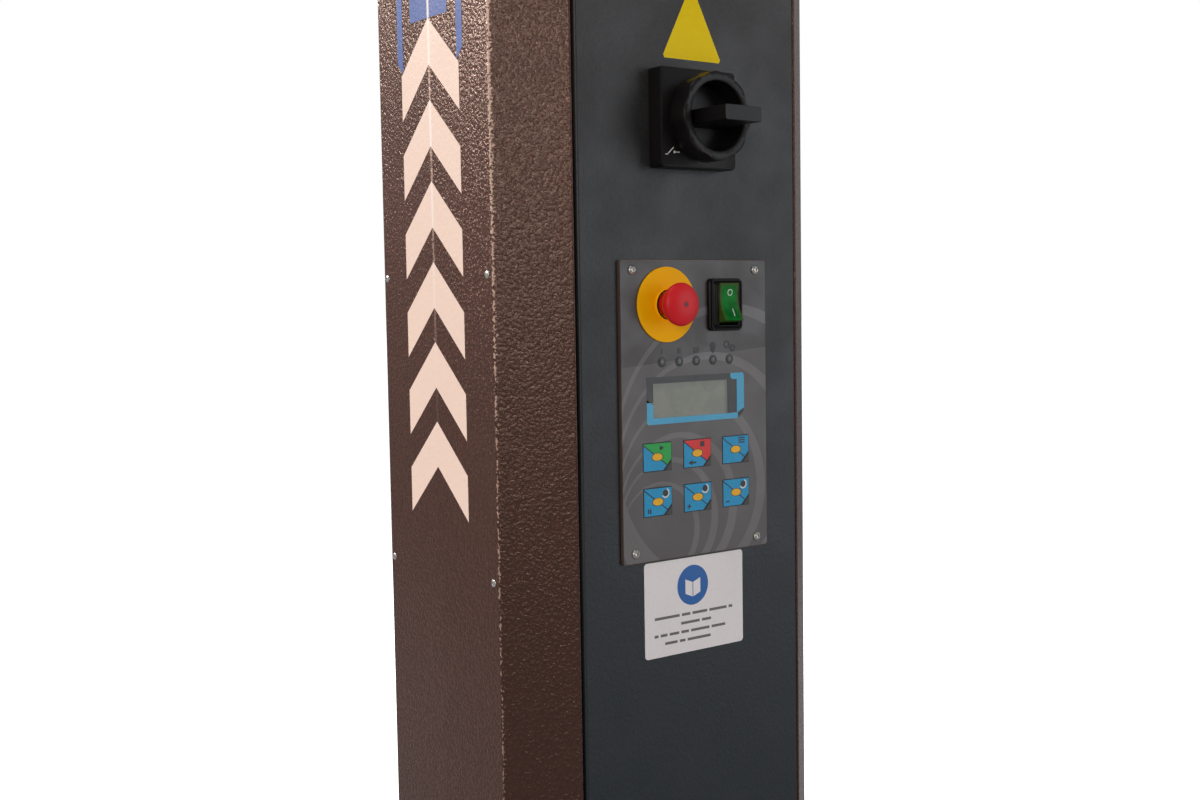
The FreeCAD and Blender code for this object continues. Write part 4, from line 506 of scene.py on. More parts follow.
def add(name, verts, faces, body, finish, smooth=True):
    """A mesh object that rides on a body. Smooth shading stops at its sharp edges."""
    mesh = bpy.data.meshes.new(name)
    mesh.from_pydata([tuple(Vector(v) * MM) for v in verts], [], faces)
    mesh.validate()
    made = bmesh.new()
    made.from_mesh(mesh)
    bmesh.ops.recalc_face_normals(made, faces=made.faces)
    if smooth:
        for face in made.faces:
            face.smooth = True
        for edge in made.edges:
            edge.smooth = len(edge.link_faces) != 2 or edge.calc_face_angle(0.0) <= SHARP
    made.to_mesh(mesh)
    made.free()
    mesh.materials.append(finish.material)
    piece = bpy.data.objects.new(name, mesh)
    bpy.context.scene.collection.objects.link(piece)
    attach(piece, body)
    return piece


def turns(count):
    """Angles that go once round in this many steps."""
    return [2 * math.pi * i / count for i in range(count)]


class Shape:
    """Vertices and faces gathered from several simple forms, for one mesh."""

    def __init__(self):
        self.verts, self.faces = [], []

    def take(self, verts, faces):
        first = len(self.verts)
        self.verts += verts
        self.faces += [tuple(first + i for i in face) for face in faces]
        return self

    def loft(self, loops, closed=False):
        """Quads between loops of the same count; capped at both ends, or joined into a ring."""
        count = len(loops[0])
        verts = [point for loop in loops for point in loop]
        starts = [count * i for i in range(len(loops))]
        faces = []
        if closed:
            starts.append(0)
        else:
            faces = [tuple(reversed(range(count))), tuple(range(starts[-1], len(verts)))]
        for one, two in zip(starts, starts[1:]):
            faces += [(one + i, one + (i + 1) % count, two + (i + 1) % count, two + i) for i in range(count)]
        return self.take(verts, faces)

    def prism(self, outline, low, high, frame_of):
        """A closed prism: outline in the plane, from low to high along the frame's third axis."""
        return self.loft(rings(frame_of, [(outline, low), (outline, high)]))

    def lathe(self, profile, frame_of, steps=48):
        """A solid turned round the frame's third axis from (radius, height) points; radius 0 closes it.

        A point with a third value of True lies on a hexagon, not on a circle.
        """
        loops = []
        verts = []
        for radius, height, *flat in profile:
            angles = turns(steps) if radius else [0.0]
            loops.append([len(verts) + i for i in range(len(angles))])
            for angle in angles:
                reach = radius
                if flat:
                    reach /= math.cos((angle + HEX_TURN / 2) % HEX_TURN - HEX_TURN / 2)
                verts.append(frame_of(reach * math.cos(angle), reach * math.sin(angle), height))
        faces = []
        for one, two in zip(loops, loops[1:]):
            for i in range(steps):
                quad = ((one, i), (one, i + 1), (two, i + 1), (two, i))
                corners = tuple(dict.fromkeys(loop[k % len(loop)] for loop, k in quad))
                if len(corners) > 2:
                    faces.append(corners)
        return self.take(verts, faces)

    def piece(self, name, body, slot, finish, smooth=True):
        return add(name, self.verts, self.faces, body, finish, smooth)

    def like(self, node, name, body=MACHINE):
        """A piece with the finish that goes with a CAD node's slot."""
        return self.piece(name, body, SLOTS[node], FINISHES[SLOTS[node]])

    def stand_in(self, node, name, body=MACHINE):
        """A piece that takes the place of a CAD node."""
        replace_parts(self.like(node, name, body), node)


def facing(x, y, z):
    """A frame on the operator's side: first axis +X, second +Z, third -Y, from this point."""
    return lambda a, b, c: Vector((x + a, y - c, z + b))


def upright(x, y, z):
    """A frame that stands up from this point."""
    return lambda a, b, c: Vector((x + a, y + b, z + c))


def rearward(x, y, z):
    """A frame on the mast's back: first axis -X, second +Z, third +Y, from this point."""
    return lambda a, b, c: Vector((x - a, y + c, z + b))


def sideways(x, y, z, side):
    """A frame on the mast's side: first axis -Y times the side, second +Z, third outwards along X."""
    return lambda a, b, c: Vector((x + side * c, y - a, z + b))


def rounded_rect(width, height, radius, steps=6, x=0.0, y=0.0):
    points = []
    for cx, cy, start in ((1, 1, 0), (-1, 1, 90), (-1, -1, 180), (1, -1, 270)):
        for i in range(steps + 1):
            angle = math.radians(start + 90 * i / steps)
            points.append((x + cx * (width / 2 - radius) + radius * math.cos(angle),
                           y + cy * (height / 2 - radius) + radius * math.sin(angle)))
    return points


def polygon(count, radius, x=0.0, y=0.0, turn=0.0):
    return [(x + radius * math.cos(turn + a), y + radius * math.sin(turn + a)) for a in turns(count)]


def bar(x1, z1, x2, z2):
    return [(x1, z1), (x2, z1), (x2, z2), (x1, z2)]


def rings(place, outline_at):
    """Loops of an outline that changes with depth: outline_at gives (points, depth) pairs."""
    return [[place(a, b, depth) for a, b in points] for points, depth in outline_at]


def printed(name, outlines, y, finish, body=MACHINE, slot="overlay_film", thick=0.12):
    """Thin printed shapes on the operator's side, from outlines of (x, z) points."""
    shape = Shape()
    for outline in outlines:
        shape.prism(outline, 0.0, thick, facing(0.0, y, 0.0))
    shape.piece(name, body, slot, finish, smooth=False)


# ---- screws

def socket_head(radius, height, socket, sink, lift=0.0):
    """Profile of a domed screw head with a hexagonal socket, from its seat to the socket's floor."""
    head = [(0.0, 0.0), (radius, 0.0)]
    for degrees in (0, 15, 30, 45, 58):
        a = math.radians(degrees)
        head.append((radius * math.cos(a), height * (0.18 + 0.82 * math.sin(a))))
    head += [(socket * 1.22, height), (socket * 1.06, height, True), (socket, height - 0.1, True),
             (socket, height - sink, True), (0.0, height - sink * 1.3)]
    return [(r, h + lift, *flat) for r, h, *flat in head]


def make_plate_screws():
    shape = Shape()
    low, high = box("plate_screws")
    radius = 3.75
    for x, z in product((low.x + radius, high.x - radius), (low.z + radius, high.z - radius)):
        shape.lathe(socket_head(radius, 2.25, 1.45, 1.3), facing(x, OVERLAY_Y, z))
    shape.stand_in("plate_screws", "plate_screw_heads")


def side_x(y):
    """How far the mast's side stands out from the middle at this depth: it has a slight crown."""
    reach = (y - FOLD_Y) / (CREASE_Y - FOLD_Y)
    if reach > 1:
        reach = (SIDE_HIGH.y - y) / (SIDE_HIGH.y - CREASE_Y)
    return SIDE_REACH + SIDE_CROWN * max(0.0, min(1.0, reach))


def make_side_screws():
    shape = Shape()
    lowest, pitch, rows = 175, 240, 9
    for side, y, row in product((-1, 1), (-1415.3, -1257.0), range(rows)):
        place = sideways(side * side_x(y), y, lowest + pitch * row, side)
        shape.lathe(socket_head(3.1, 0.95, 0.95, 0.7, -0.02), place, 24)
    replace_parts(shape.piece("side_screw_heads", MACHINE, "zinc_plate", FINISHES["zinc_plate"]),
                "side_screws")


# ---- controls

def make_stop_head():
    """Mushroom head of the emergency stop, flaring from its neck, with a small dark centre."""
    low, high = box("estop_button")
    middle = (low + high) / 2
    place = facing(middle.x, high.y, middle.z)
    depth = high.y - low.y
    radius = (high.x - low.x) / 2
    bore, start = 5.3, 16.6
    profile = [(0.0, depth / 2), (bore, depth / 2), (bore, 0.0), (9.4, 0.0), (9.4, 5.6), (9.9, 6.9),
               (11.2, 8.2), (13.0, 9.3), (14.6, 10.7), (15.8, 12.5), (16.7, 14.7), (17.15, start)]
    for degrees in range(8, 90, 8):
        a = math.radians(degrees)
        profile.append((radius * math.cos(a) ** 0.72, start + (depth - start) * math.sin(a)))
    profile.append((0.0, depth))
    Shape().lathe(profile, place, 72).stand_in("estop_button", "stop_head", "estop_button")
    dot = [(0.0, depth - 0.9), (1.6, depth - 0.9), (1.6, depth - 0.05), (1.2, depth), (0.0, depth)]
    Shape().lathe(dot, place, 24).piece("stop_head_dot", "estop_button", "black_plastic", DARK_INK)


def make_stop_ring():
    """Yellow floor inside the emergency stop's thin black collar, in two rings."""
    middle = middle_of("estop_button")
    place = facing(middle.x, box("estop_disc")[0].y, middle.z)
    floor = Shape()
    for profile in ([(10.0, 1.0), (11.0, 1.0), (11.0, 1.9), (10.7, 1.9), (10.0, 1.3), (10.0, 1.0)],
                    [(11.6, 0), (12.6, 0), (12.2, 1.2), (12.1, 1.7), (11.6, 1.7), (11.6, 0)]):
        floor.lathe(profile, place, 64)
    floor.piece("stop_collar_floor", MACHINE, "yellow_disc", FINISHES["yellow_disc"])


def make_rocker():
    """Ribbed rubber boot round the lit rocker."""
    low, high = box("rocker_boot")
    middle = (low + high) / 2
    width, height = high.x - low.x, high.z - low.z
    front = OVERLAY_Y - low.y
    cap_low, cap_high = box("rocker_cap")
    hole_x, hole_z = cap_high.x - cap_low.x + 0.8, cap_high.z - cap_low.z + 0.8
    steps = ((0.0, 0.0, 4.0), (0.0, 0.35, 4.0), (0.9, 0.5, 3.6), (1.3, 0.5, 3.4), (1.3, 0.68, 3.2),
             (2.6, 0.72, 3.0), (2.9, 0.6, 3.0), (3.2, 0.72, 2.8), (4.4, 0.86, 2.4), (4.7, 0.76, 2.4),
             (5.0, 0.88, 2.2), (5.9, 1.0, 1.8))
    loops = [(rounded_rect(width - 2 * inset, height - 1.5 * inset, corner), front * rise)
             for inset, rise, corner in steps]
    loops += [(rounded_rect(hole_x + more, hole_z + more, corner), depth) for more, corner, depth in
              ((0.8, 1.4, front), (0, 1.0, front - 0.8), (0, 1.0, -20), (2, 1.4, -20), (2, 1.4, 0.0))]
    shape = Shape().loft(rings(facing(middle.x, OVERLAY_Y, middle.z), loops), True)
    shape.stand_in("rocker_boot", "rocker_boot_ribbed")


def front_of(name):
    """A function that gives the depth of a CAD node's front, as a ray from the operator meets it."""
    mesh = nodes[name].data
    faces = [tuple(face.vertices) for face in mesh.polygons]
    tree = BVHTree.FromPolygons([v.co / MM for v in mesh.vertices], faces)
    start = box(name)[0].y - 10
    return lambda x, z: tree.ray_cast(Vector((x, start, z)), Vector((0, 1, 0)))[0].y


def make_rocker_marks():
    """The O and I marks of the switch, thin prints that follow the cap's bent face."""
    x, ring_z, bar_z = 31.6, 1358.6, 1342.4
    sunk, lift = -0.1, 0.14
    on_cap = front_of("rocker_cap")
    shape = Shape()
    loops = []
    for a in turns(28):
        loop = []
        for radius, rise in ((2.7, sunk), (2.7, lift), (2.05, lift), (2.05, sunk)):
            px, pz = x + radius * math.cos(a), ring_z + radius * math.sin(a)
            loop.append(Vector((px, on_cap(px, pz) - rise, pz)))
        loops.append(loop)
    shape.loft(loops, True)
    shape.loft([[Vector((x + 1.2 + dx, on_cap(x, z) - rise, z))
                 for dx, rise in ((-0.42, sunk), (0.42, sunk), (0.42, lift), (-0.42, lift))]
                for z in (bar_z - 3, bar_z, bar_z + 3)])
    shape.piece("rocker_marks", "rocker_cap", "green_cap", PALE_INK)


def lobed(radius, bite, depth, place):
    """An outline with eight shallow bites, at this depth in a frame."""
    loop = []
    for a in turns(96):
        reach = radius - bite * (0.5 - 0.5 * math.cos(8 * a)) ** 1.6
        loop.append(place(reach * math.cos(a), reach * math.sin(a), depth))
    return loop


def make_switch_handle():
    """Handle of the main switch: a cup with eight shallow lobes, and the bar across it, with its sign."""
    middle = middle_of("switch_base")
    place = facing(middle.x, FACE_Y, middle.z)
    cup = ((31.0, 0, 15.4), (31.6, 0, 16.4), (31.8, 0.2, 18.0), (32.6, 0.8, 19.4), (34.4, 1.8, 20.6),
           (34.9, 2.0, 22.0), (34.9, 2.0, 36.6), (34.5, 1.9, 37.6), (33.9, 1.7, 38.0), (28.0, 0, 38.0),
           (27.4, 0, 37.6), (27.0, 0, 36.4), (27.0, 0, 18.4), (26.0, 0, 17.0))
    shape = Shape().loft([lobed(radius, bite, depth, place) for radius, bite, depth in cup])
    shape.loft(rings(place, [(rounded_rect(a, b, r, 6, 1.5, -0.8), h) for a, b, r, h in
                             ((38.4, 13.2, 2.0, 16.8), (37.4, 12.2, 1.6, 18.6), (37.0, 11.8, 1.2, 22.0),
                              (37.0, 11.8, 1.2, 65.5), (36.2, 11.0, 0.9, 66.0))]))
    shape.lathe([(0.0, -38), (4.6, -38), (5.0, -37.5), (5.0, 13.6), (0.0, 13.6)], place, 32)
    shape.stand_in("switch_handle", "switch_handle_lobed", "switch_handle")
    sign = [[(-37.1, 1467.9), (-36.4, 1467.3), (-30.9, 1472.1), (-31.5, 1472.7)],
            bar(-28.9, 1468.5, -25.1, 1469.3), bar(-39.5, 1466.5, -36.9, 1467.3),
            polygon(16, 1.1, -30.3, 1468.9)]
    printed("switch_sign", sign, FACE_Y - SWITCH_PLATE[-1][2], PALE_INK, MACHINE, "black_plastic", 0.08)


def make_switch_plate():
    """Square plate of the main switch with rounded corners, and its contact block behind the panel."""
    middle = middle_of("switch_base")
    place = facing(middle.x, FACE_Y, middle.z)
    block = ((46.0, 52.0, -67.0), (46.0, 52.0, -20.0), (30.0, 30.0, -19.0), (30.0, 30.0, 1.0))
    shape = Shape().loft(rings(place, [(rounded_rect(a, a, r), h) for a, r, h in SWITCH_PLATE]))
    shape.loft(rings(place, [(rounded_rect(a, b, 2), h) for a, b, h in block]))
    shape.stand_in("switch_base", "switch_plate_rounded")


# ---- prints

def make_display_print():
    """Dark surround of the display, standing for its bezel and partly painted shade, and its two light blue
    corners with slanted ends.
    """
    # Painted shade: the charcoal bars stand for the display's metal bezel and for the shadow it lies in.
    dark = [bar(-52, 1272, -45.4, 1287), bar(-52, 1287, 37, 1292.2), bar(34, 1259.4, 43.8, 1287)]
    printed("display_bezel_and_painted_shade", dark, OVERLAY_Y, CHARCOAL)
    corner_right = [(37, 1292.2), (37, 1288.6), (39.4, 1287), (44, 1287), (44, 1258.9), (52, 1262.9),
                    (52, 1290.4), (50.4, 1292.2)]
    corner_left = [(-52, 1274.4), (-52, 1255.8), (-50.6, 1254.4), (45, 1254.4), (45, 1259),
                   (-45.4, 1259.4), (-45.4, 1269.7)]
    printed("display_print_blue", [corner_right, corner_left], OVERLAY_Y, FRAME_BLUE)
    notch = [(45.2, 1254.6), (45.2, 1258.9), (52, 1262.7), (51, 1259.6)]
    printed("display_print_notch", [notch], OVERLAY_Y, DARK_INK)


def make_lamps():
    """Five indicator lamps, each a low lens in a dark ring."""
    rims, lenses = Shape(), Shape()
    lamp_z = 1303.8
    for number in range(5):
        place = facing(LAMP_X + LAMP_PITCH * number, OVERLAY_Y, lamp_z)
        rims.loft(rings(place, [(polygon(28, r), h) for r, h in
                                ((1.9, 0.0), (4.1, 0.0), (4.1, 0.08), (3.1, 0.42), (1.9, 0.5))]), True)
        lenses.lathe([(0.0, 0.0), (1.95, 0.0), (1.95, 0.45), (1.2, 0.6), (0.0, 0.65)], place, 24)
    rims.piece("lamp_rims", MACHINE, "overlay_film", CHARCOAL)
    lenses.piece("lamp_lenses", MACHINE, "overlay_film", LENS)


def make_lamp_signs():
    """Plain signs over the lamps: one, two and three strokes, a drop, and a pair of gears."""
    signs = []
    for number in range(3):
        for line in range(number + 1):
            x = LAMP_X + LAMP_PITCH * number + (line - number / 2) * 2.2
            signs.append(bar(x - 0.6, 1310.0, x + 0.6, 1314.8))
    drop_x, drop_z = LAMP_X + 3 * LAMP_PITCH, 1314.0
    signs.append([(drop_x + 2.9 * math.sin(a) * (1 - 0.35 * math.cos(a)), drop_z - 4.6 * math.cos(a))
                  for a in turns(20)])
    gears = Shape()
    for x, z, radius in ((33.2, 1316.0, 3.0), (39.8, 1312.8, 2.5)):
        outer = radius + 0.3
        signs += [polygon(4, 0.75, x + outer * math.cos(a), z + outer * math.sin(a), a + math.pi / 4)
                  for a in turns(8)]
        gears.loft(rings(facing(x, OVERLAY_Y, z), [(polygon(20, r), h) for r, h in (
            (radius, 0), (radius, 0.12), (radius - 1.3, 0.12), (radius - 1.3, 0))]), True)
    printed("lamp_signs", signs, OVERLAY_Y, DARK_INK)
    gears.piece("lamp_gear_signs", MACHINE, "overlay_film", DARK_INK)


def key_signs(x, z):
    """Outlines of the plain signs on the six keys: start, stop, back, menu, pause, plus and minus."""
    return ([[(x + 2.5, z + 4.8), (x + 2.5, z + 9.2), (x + 7.0, z + 7.0)]],
            [bar(x + 3.2, z + 5.0, x + 7.4, z + 9.2),
             [(x - 9.5, z - 7.5), (x - 5.5, z - 9.8), (x - 5.5, z - 5.2)],
             bar(x - 5.5, z - 8.2, x - 1.5, z - 6.8)],
            [bar(x + 3.0, z + 5.0 + 1.9 * i, x + 10.0, z + 6.0 + 1.9 * i) for i in range(3)],
            [bar(x - 10.5, z - 9.0, x - 9.2, z - 5.2), bar(x - 8.4, z - 9.0, x - 7.1, z - 5.2)],
            [bar(x - 11.4, z - 7.6, x - 7.4, z - 6.6), bar(x - 9.9, z - 9.1, x - 8.9, z - 7.6),
             bar(x - 9.9, z - 6.6, x - 8.9, z - 5.1)],
            [bar(x - 11.4, z - 7.5, x - 7.8, z - 6.4)])


def make_key_signs():
    """The signs of each key, and a small reel on the three lower ones."""
    for number in range(1, 7):
        key = "key_%d" % number
        middle = middle_of(key)
        y = box(key)[0].y
        signs = key_signs(middle.x, middle.z)[number - 1]
        if number > 3:
            x, z = middle.x + 7.8, middle.z + 6.4
            signs.append(polygon(20, 2.7, x, z))
            place = facing(x, y, z)
            loops = [[place(r * math.cos(a), r * math.sin(a), h) for r, h in
                      ((2.8, 0), (2.8, 0.12), (4.0, 0.12), (4.0, 0))]
                     for a in (math.radians(-150 + 12 * i) for i in range(19))]
            Shape().loft(loops).piece(key + "_reel", key, "key_blue", PALE_INK)
        printed(key + "_signs", signs, y, DARK_INK, key, "key_blue")


def on_panel(name, outlines, finish, thick, seat=0.0):
    """A label on the operator panel, or on a print that is this thick."""
    printed(name, outlines, FACE_Y - seat, finish, MACHINE, "front_paint", thick)


def make_labels():
    """Plain yellow plate over the main switch, and a white card with a blue disc and grey lines."""
    x, z, larger = 1.7, 1564, 1.04
    half = [(28.6, 1544.5), (30.0, 1546.8), (3.4, 1598.6), (1.8, 1600.0)]
    plate = [(x + a, b) for a, b in half] + [(x - a, b) for a, b in reversed(half)]
    rim = [(x + (a - x) * larger, z + (b - z) * larger) for a, b in plate]
    on_panel("yellow_plate_rim", [rim], DARK_INK, 0.1)
    on_panel("yellow_plate", [plate], YELLOW, 0.2)
    on_panel("card", [rounded_rect(105.8, 78.0, 3.0, 6, -1.9, 1104.15)], WHITE, 0.2)
    on_panel("card_disc", [polygon(48, 16.5, -4.0, 1120.0)], SIGN_BLUE, 0.1, 0.2)
    pages = [[(-4 + side * a, b) for a, b in ((8.0, 1113.4), (0.4, 1110.4), (0.4, 1122.4), (8.0, 1125.4))]
             for side in (-1, 1)]
    on_panel("card_page", pages, WHITE, 0.06, 0.3)
    lines = []
    for z, start, words in ((1096.8, -44.5, (26, 9, 16, 19, 4)), (1089.8, -17.0, (20, 10)),
                            (1082.6, -45.0, (4, 7, 10, 8, 20, 15)), (1075.6, -34.0, (13, 6, 25))):
        for width in words:
            lines.append(bar(start, z - 1.1, start + width, z + 1.1))
            start += width + 2.4
    on_panel("card_lines", lines, GREY_INK, 0.08, 0.2)


def side_print(name, outlines, side, finish, thick=0.15):
    """Thin print on the mast's side, bent over its crease; outlines are (distance behind the fold, z)."""
    made = bmesh.new()
    for outline in outlines:
        lower = [made.verts.new((0.0, FOLD_Y + u, z)) for u, z in outline]
        upper = [made.verts.new((thick, FOLD_Y + u, z)) for u, z in outline]
        made.faces.new(tuple(reversed(lower)))
        made.faces.new(upper)
        for i in range(len(outline)):
            made.faces.new((lower[i - 1], lower[i], upper[i], upper[i - 1]))
    bmesh.ops.bisect_plane(made, geom=made.verts[:] + made.edges[:] + made.faces[:],
                           plane_co=(0.0, CREASE_Y, 0.0), plane_no=(0.0, 1.0, 0.0))
    made.verts.index_update()
    verts = [(side * (side_x(v.co.y) + v.co.x), v.co.y, v.co.z) for v in made.verts]
    faces = [tuple(v.index for v in face.verts) for face in made.faces]
    made.free()
    add(name, verts, faces, MACHINE, finish, smooth=False)


def chevron(z, height, thick):
    """An arrow-shaped bar that points up, across the whole width of the print."""
    near, far_edge, middle = 42, 132, 87
    rise = height - thick
    return [(near, z), (middle, z + rise), (far_edge, z), (far_edge, z + thick), (middle, z + height),
            (near, z + thick)]


def make_side_prints():
    """A column of cream arrows, and plain blue bars over them, on both sides of the mast."""
    cream = [chevron(1179 + 65 * row, 78, 37) for row in range(6)]
    blue = [[(36, 1552), (45, 1543), (45, 1720), (36, 1720)],
            [(129, 1543), (138, 1552), (138, 1720), (129, 1720)],
            [(58, 1582), (116, 1582), (116, 1720), (58, 1720)]]
    for side, label in ((-1, "left"), (1, "right")):
        side_print("side_bars_" + label, cream, side, CREAM)
        side_print("side_blue_bars_" + label, blue, side, BLUE)


# ---- turntable, base and mast

def bead(shape, start, end, radius):
    """A weld bead: a rope of small ripples along a straight seam."""
    start, end = Vector(start), Vector(end)
    along = (end - start).normalized()
    side = along.cross(Vector((0, 0, 1))).normalized()
    up = side.cross(along)
    count = int((end - start).length / 2.6)
    loops = []
    for i in range(count + 1):
        grown = radius * (1.0 if i % 2 else 0.82)
        centre = start.lerp(end, i / count)
        loops.append([centre + grown * (math.cos(a) * side + math.sin(a) * up) for a in turns(8)])
    shape.loft(loops)


def make_tread():
    """Raised lozenges over the turntable's plate, set crosswise in turn, round a plain middle."""
    top = box("turntable_plate")[1].z
    pitch = 44
    half = ((14, 0), (9, 3.6), (-9, 3.6), (-14, 0), (-9, -3.6), (9, -3.6))
    shape = Shape()
    for i, j in product(range(-17, 18), repeat=2):
        if not 96 < pitch * math.hypot(i, j) < 722:
            continue
        place = upright(i * pitch, j * pitch, top)
        turned = math.radians(45 if (i + j) % 2 else -45)
        c, d = math.cos(turned), math.sin(turned)
        shape.loft(rings(place, [([(f * (a * c - b * d), f * (a * d + b * c)) for a, b in half], h)
                                 for f, h in ((1.0, -0.1), (0.97, 0.35), (0.8, 0.9))]))
    shape.piece("table_tread", "turntable", SLOTS["turntable_plate"], FINISHES["tread_worn"])
    middle = Shape().lathe([(0.0, -0.1), (66, -0.1), (66, 0.4), (65, 0.9), (0.0, 1.0)],
                           upright(0.0, 0.0, top), 72)
    middle.like("turntable_plate", "table_middle", "turntable")
    screws = Shape()
    for x, y in polygon(6, 50, turn=math.radians(30)):
        screws.lathe(socket_head(7.5, 1.4, 2.6, 1.0, 0.85), upright(x, y, top), 32)
    screws.like("plate_screws", "table_screws", "turntable")


def make_foot_bolts():
    """Hexagon bolts with washers at the mast's foot."""
    bolts = Shape()
    for x, y in product((-177, 177), (-1234, -1481)):
        bolts.lathe([(0.0, 30), (5.2, 30), (5.9, 31.2), (5.9, 72), (11.4, 72), (11.4, 73.2), (11.0, 73.6),
                     (8.66, 73.6, True), (8.66, 77.3, True), (7.6, 78), (0.0, 78)], upright(x, y, 0.0))
    bolts.stand_in("foot_bolts", "foot_bolts_hex")


def make_cover_screws():
    screws = Shape()
    top = box("base_cover")[1].z
    for x, y in product((-350, 350), (-1205, -1040, -870, -700)):
        screws.lathe(socket_head(5, 2.6, 1.7, 1.6), upright(x, y, top), 28)
    screws.like("plate_screws", "cover_screws")


def make_foot_welds():
    """Weld seams along the foot's front edge, and round the mast on the foot."""
    front_z, seam_z, radius = 60.8, 72.6, 1.9
    seams = Shape()
    bead(seams, (-200, -1495.5, front_z), (200, -1495.5, front_z), radius)
    for side in (-1, 1):
        bead(seams, (side * 34, -1251, seam_z), (side * 162, -1251, seam_z), radius)
    for side in (-1, 1):
        bead(seams, (side * 165.6, -1420, seam_z), (side * 165.6, -1254, seam_z), radius)
    seams.like("base_frame", "foot_welds")


def make_gland():
    """Cable gland: a ring behind the plate, two hexagons, and a ribbed cap that narrows to its mouth."""
    plate_y = -1530
    middle = middle_of("cable_gland")
    profile = [(5, -14), (10, -14), (11.6, -13.6, True), (11.6, -8.3, True), (9.8, -8.3), (9.8, 0.2),
               (13.6, 0.2), (13.6, 1.2), (12.1, 1.3, True), (12.1, 8.2, True), (11.4, 8.6), (11.4, 9.4),
               (12.4, 9.8), (12.4, 12.4), (11.9, 12.8), (12.4, 13.2), (12.4, 16.4), (11.9, 16.8),
               (12.2, 17.2), (11.4, 20.6), (9.2, 23.2), (7.4, 24), (5, 24), (5, -14)]
    gland = Shape().lathe(profile, facing(middle.x, plate_y, middle.z))
    gland.stand_in("cable_gland", "cable_gland_ribbed")


def make_mast_details():
    """Screws in the cap's skirt and flush screws along the guide rails."""
    shape = Shape()
    reach = box("mast_cap")[1].x - 0.1
    skirt_z = 2277
    for side, y in product((-1, 1), (-1405, -1285)):
        shape.lathe(socket_head(3.6, 2.0, 1.3, 1.1), sideways(side * reach, y, skirt_z, side), 24)
    shape.like("plate_screws", "cap_screws")
    rails, sockets = Shape(), Shape()
    back = box("guide_rails")[1].y
    lowest, pitch, rows = 160, 156, 14
    for x, row in product((-115, 115), range(rows)):
        place = rearward(x, back, lowest + pitch * row)
        rails.lathe([(0.0, -0.1), (5.6, -0.1), (5.6, 0.05), (5.2, 0.1), (0.0, 0.1)], place, 28)
        sockets.prism(polygon(6, 2.6), 0.0, 0.14, place)
    rails.like("plate_screws", "rail_screws")
    sockets.like("cable_gland", "rail_screw_sockets")


# ---- film carriage

def grooved(node, radius, pitch, depth, low=150, high=690, shaft=7.9):
    """Profile of a roller on its shaft, with rounded ends and grooves round it."""
    bottom, top = (corner.z for corner in box(node))
    points = [(0.0, bottom), (shaft, bottom), (shaft, low), (radius - 2.0, low), (radius, low + 2.0)]
    z = low + pitch
    while z < high - pitch / 2:
        points += [(radius, z - 2.6), (radius, z - 1.6), (radius - depth, z - 0.9),
                   (radius - depth, z + 0.9), (radius, z + 1.6), (radius, z + 2.6)]
        z += pitch
    return points + [(radius, high - 2.0), (radius - 2.0, high), (shaft, high), (shaft, top - 0.8),
                     (shaft - 0.8, top), (0.0, top)]


def make_rollers():
    """Grooved rubber roller and plain steel roller, each on its shaft."""
    y = middle_of("brake_roller").y
    shape = Shape().lathe(grooved("brake_roller", 32, 30, 1.2), upright(125, y, 0.0), 64)
    shape.stand_in("brake_roller", "brake_roller_grooved", "brake_roller")
    middle = middle_of("idle_roller")
    shape = Shape().lathe(grooved("idle_roller", 22, 260, 0.5), upright(middle.x, middle.y, 0.0), 64)
    shape.stand_in("idle_roller", "idle_roller_turned", "idle_roller")


def make_mandrel_ribs():
    """Four grip ribs along the film mandrel, that rise and fall again."""
    middle = middle_of("reel_core")
    ribs = Shape()
    for a in (math.radians(30 + 90 * i) for i in range(4)):
        out, side = Vector((math.cos(a), math.sin(a), 0)), Vector((-math.sin(a), math.cos(a), 0))
        loops = []
        for z, rise, width in ((168, 0.0, 3), (186, 1.6, 5), (380, 2.6, 6), (596, 1.6, 5), (614, 0.0, 3)):
            centre = Vector((middle.x, middle.y, z)) + 36.2 * out
            flank = 0.9 + rise * 0.6
            loops.append([centre + across * width * side + lift * out for across, lift in
                          ((-1, -0.6), (1, -0.6), (0.8, flank), (0, 0.9 + rise), (-0.8, flank))])
        ribs.loft(loops)
    ribs.like("reel_core", "mandrel_ribs", "reel_core")


def make_carriage_details():
    """Screws of the shoes and clamp, and weld seams of the shelf."""
    face = -1210
    screws = Shape()
    for x, z in product((-140, 140), (172, 202, 638, 668)):
        screws.lathe(socket_head(5, 3.2, 2.1, 2.0), rearward(x, face, z), 28)
    for x, z in product((-13, 13), (580, 620)):
        screws.lathe(socket_head(4, 2.8, 1.7, 1.6), rearward(x, face, z), 28)
    screws.like("plate_screws", "carriage_screws", "carriage")
    seams = Shape()
    bead(seams, (-232, face, 128), (234, face, 128), 2.0)
    bead(seams, (235, face + 2, 128), (235, -912, 128), 2.0)
    bead(seams, (54, face, 712), (234, face, 712), 2.0)
    seams.like("carriage_frame", "carriage_welds", "carriage")


def make_photocell_details():
    """The photocell's lens in its rim, and its little lamp."""
    middle = middle_of("photocell")
    high = box("photocell")[1]
    lens_z = 752
    lens = Shape().lathe([(0, -0.2), (8, -0.2), (8, 1.0), (7.4, 1.5), (6.4, 1.5), (6.2, 0.7), (3.4, 1.3),
                          (0, 1.5)], rearward(middle.x, high.y, lens_z), 40)
    lens.like("photocell", "photocell_lens", "carriage")
    lamp = Shape().lathe([(0, -0.2), (2, -0.2), (2, 0.6), (1.2, 1.2), (0, 1.3)],
                         upright(middle.x, high.y - 12, high.z), 24)
    lamp.piece("photocell_lamp", "carriage", SLOTS["photocell"], YELLOW)


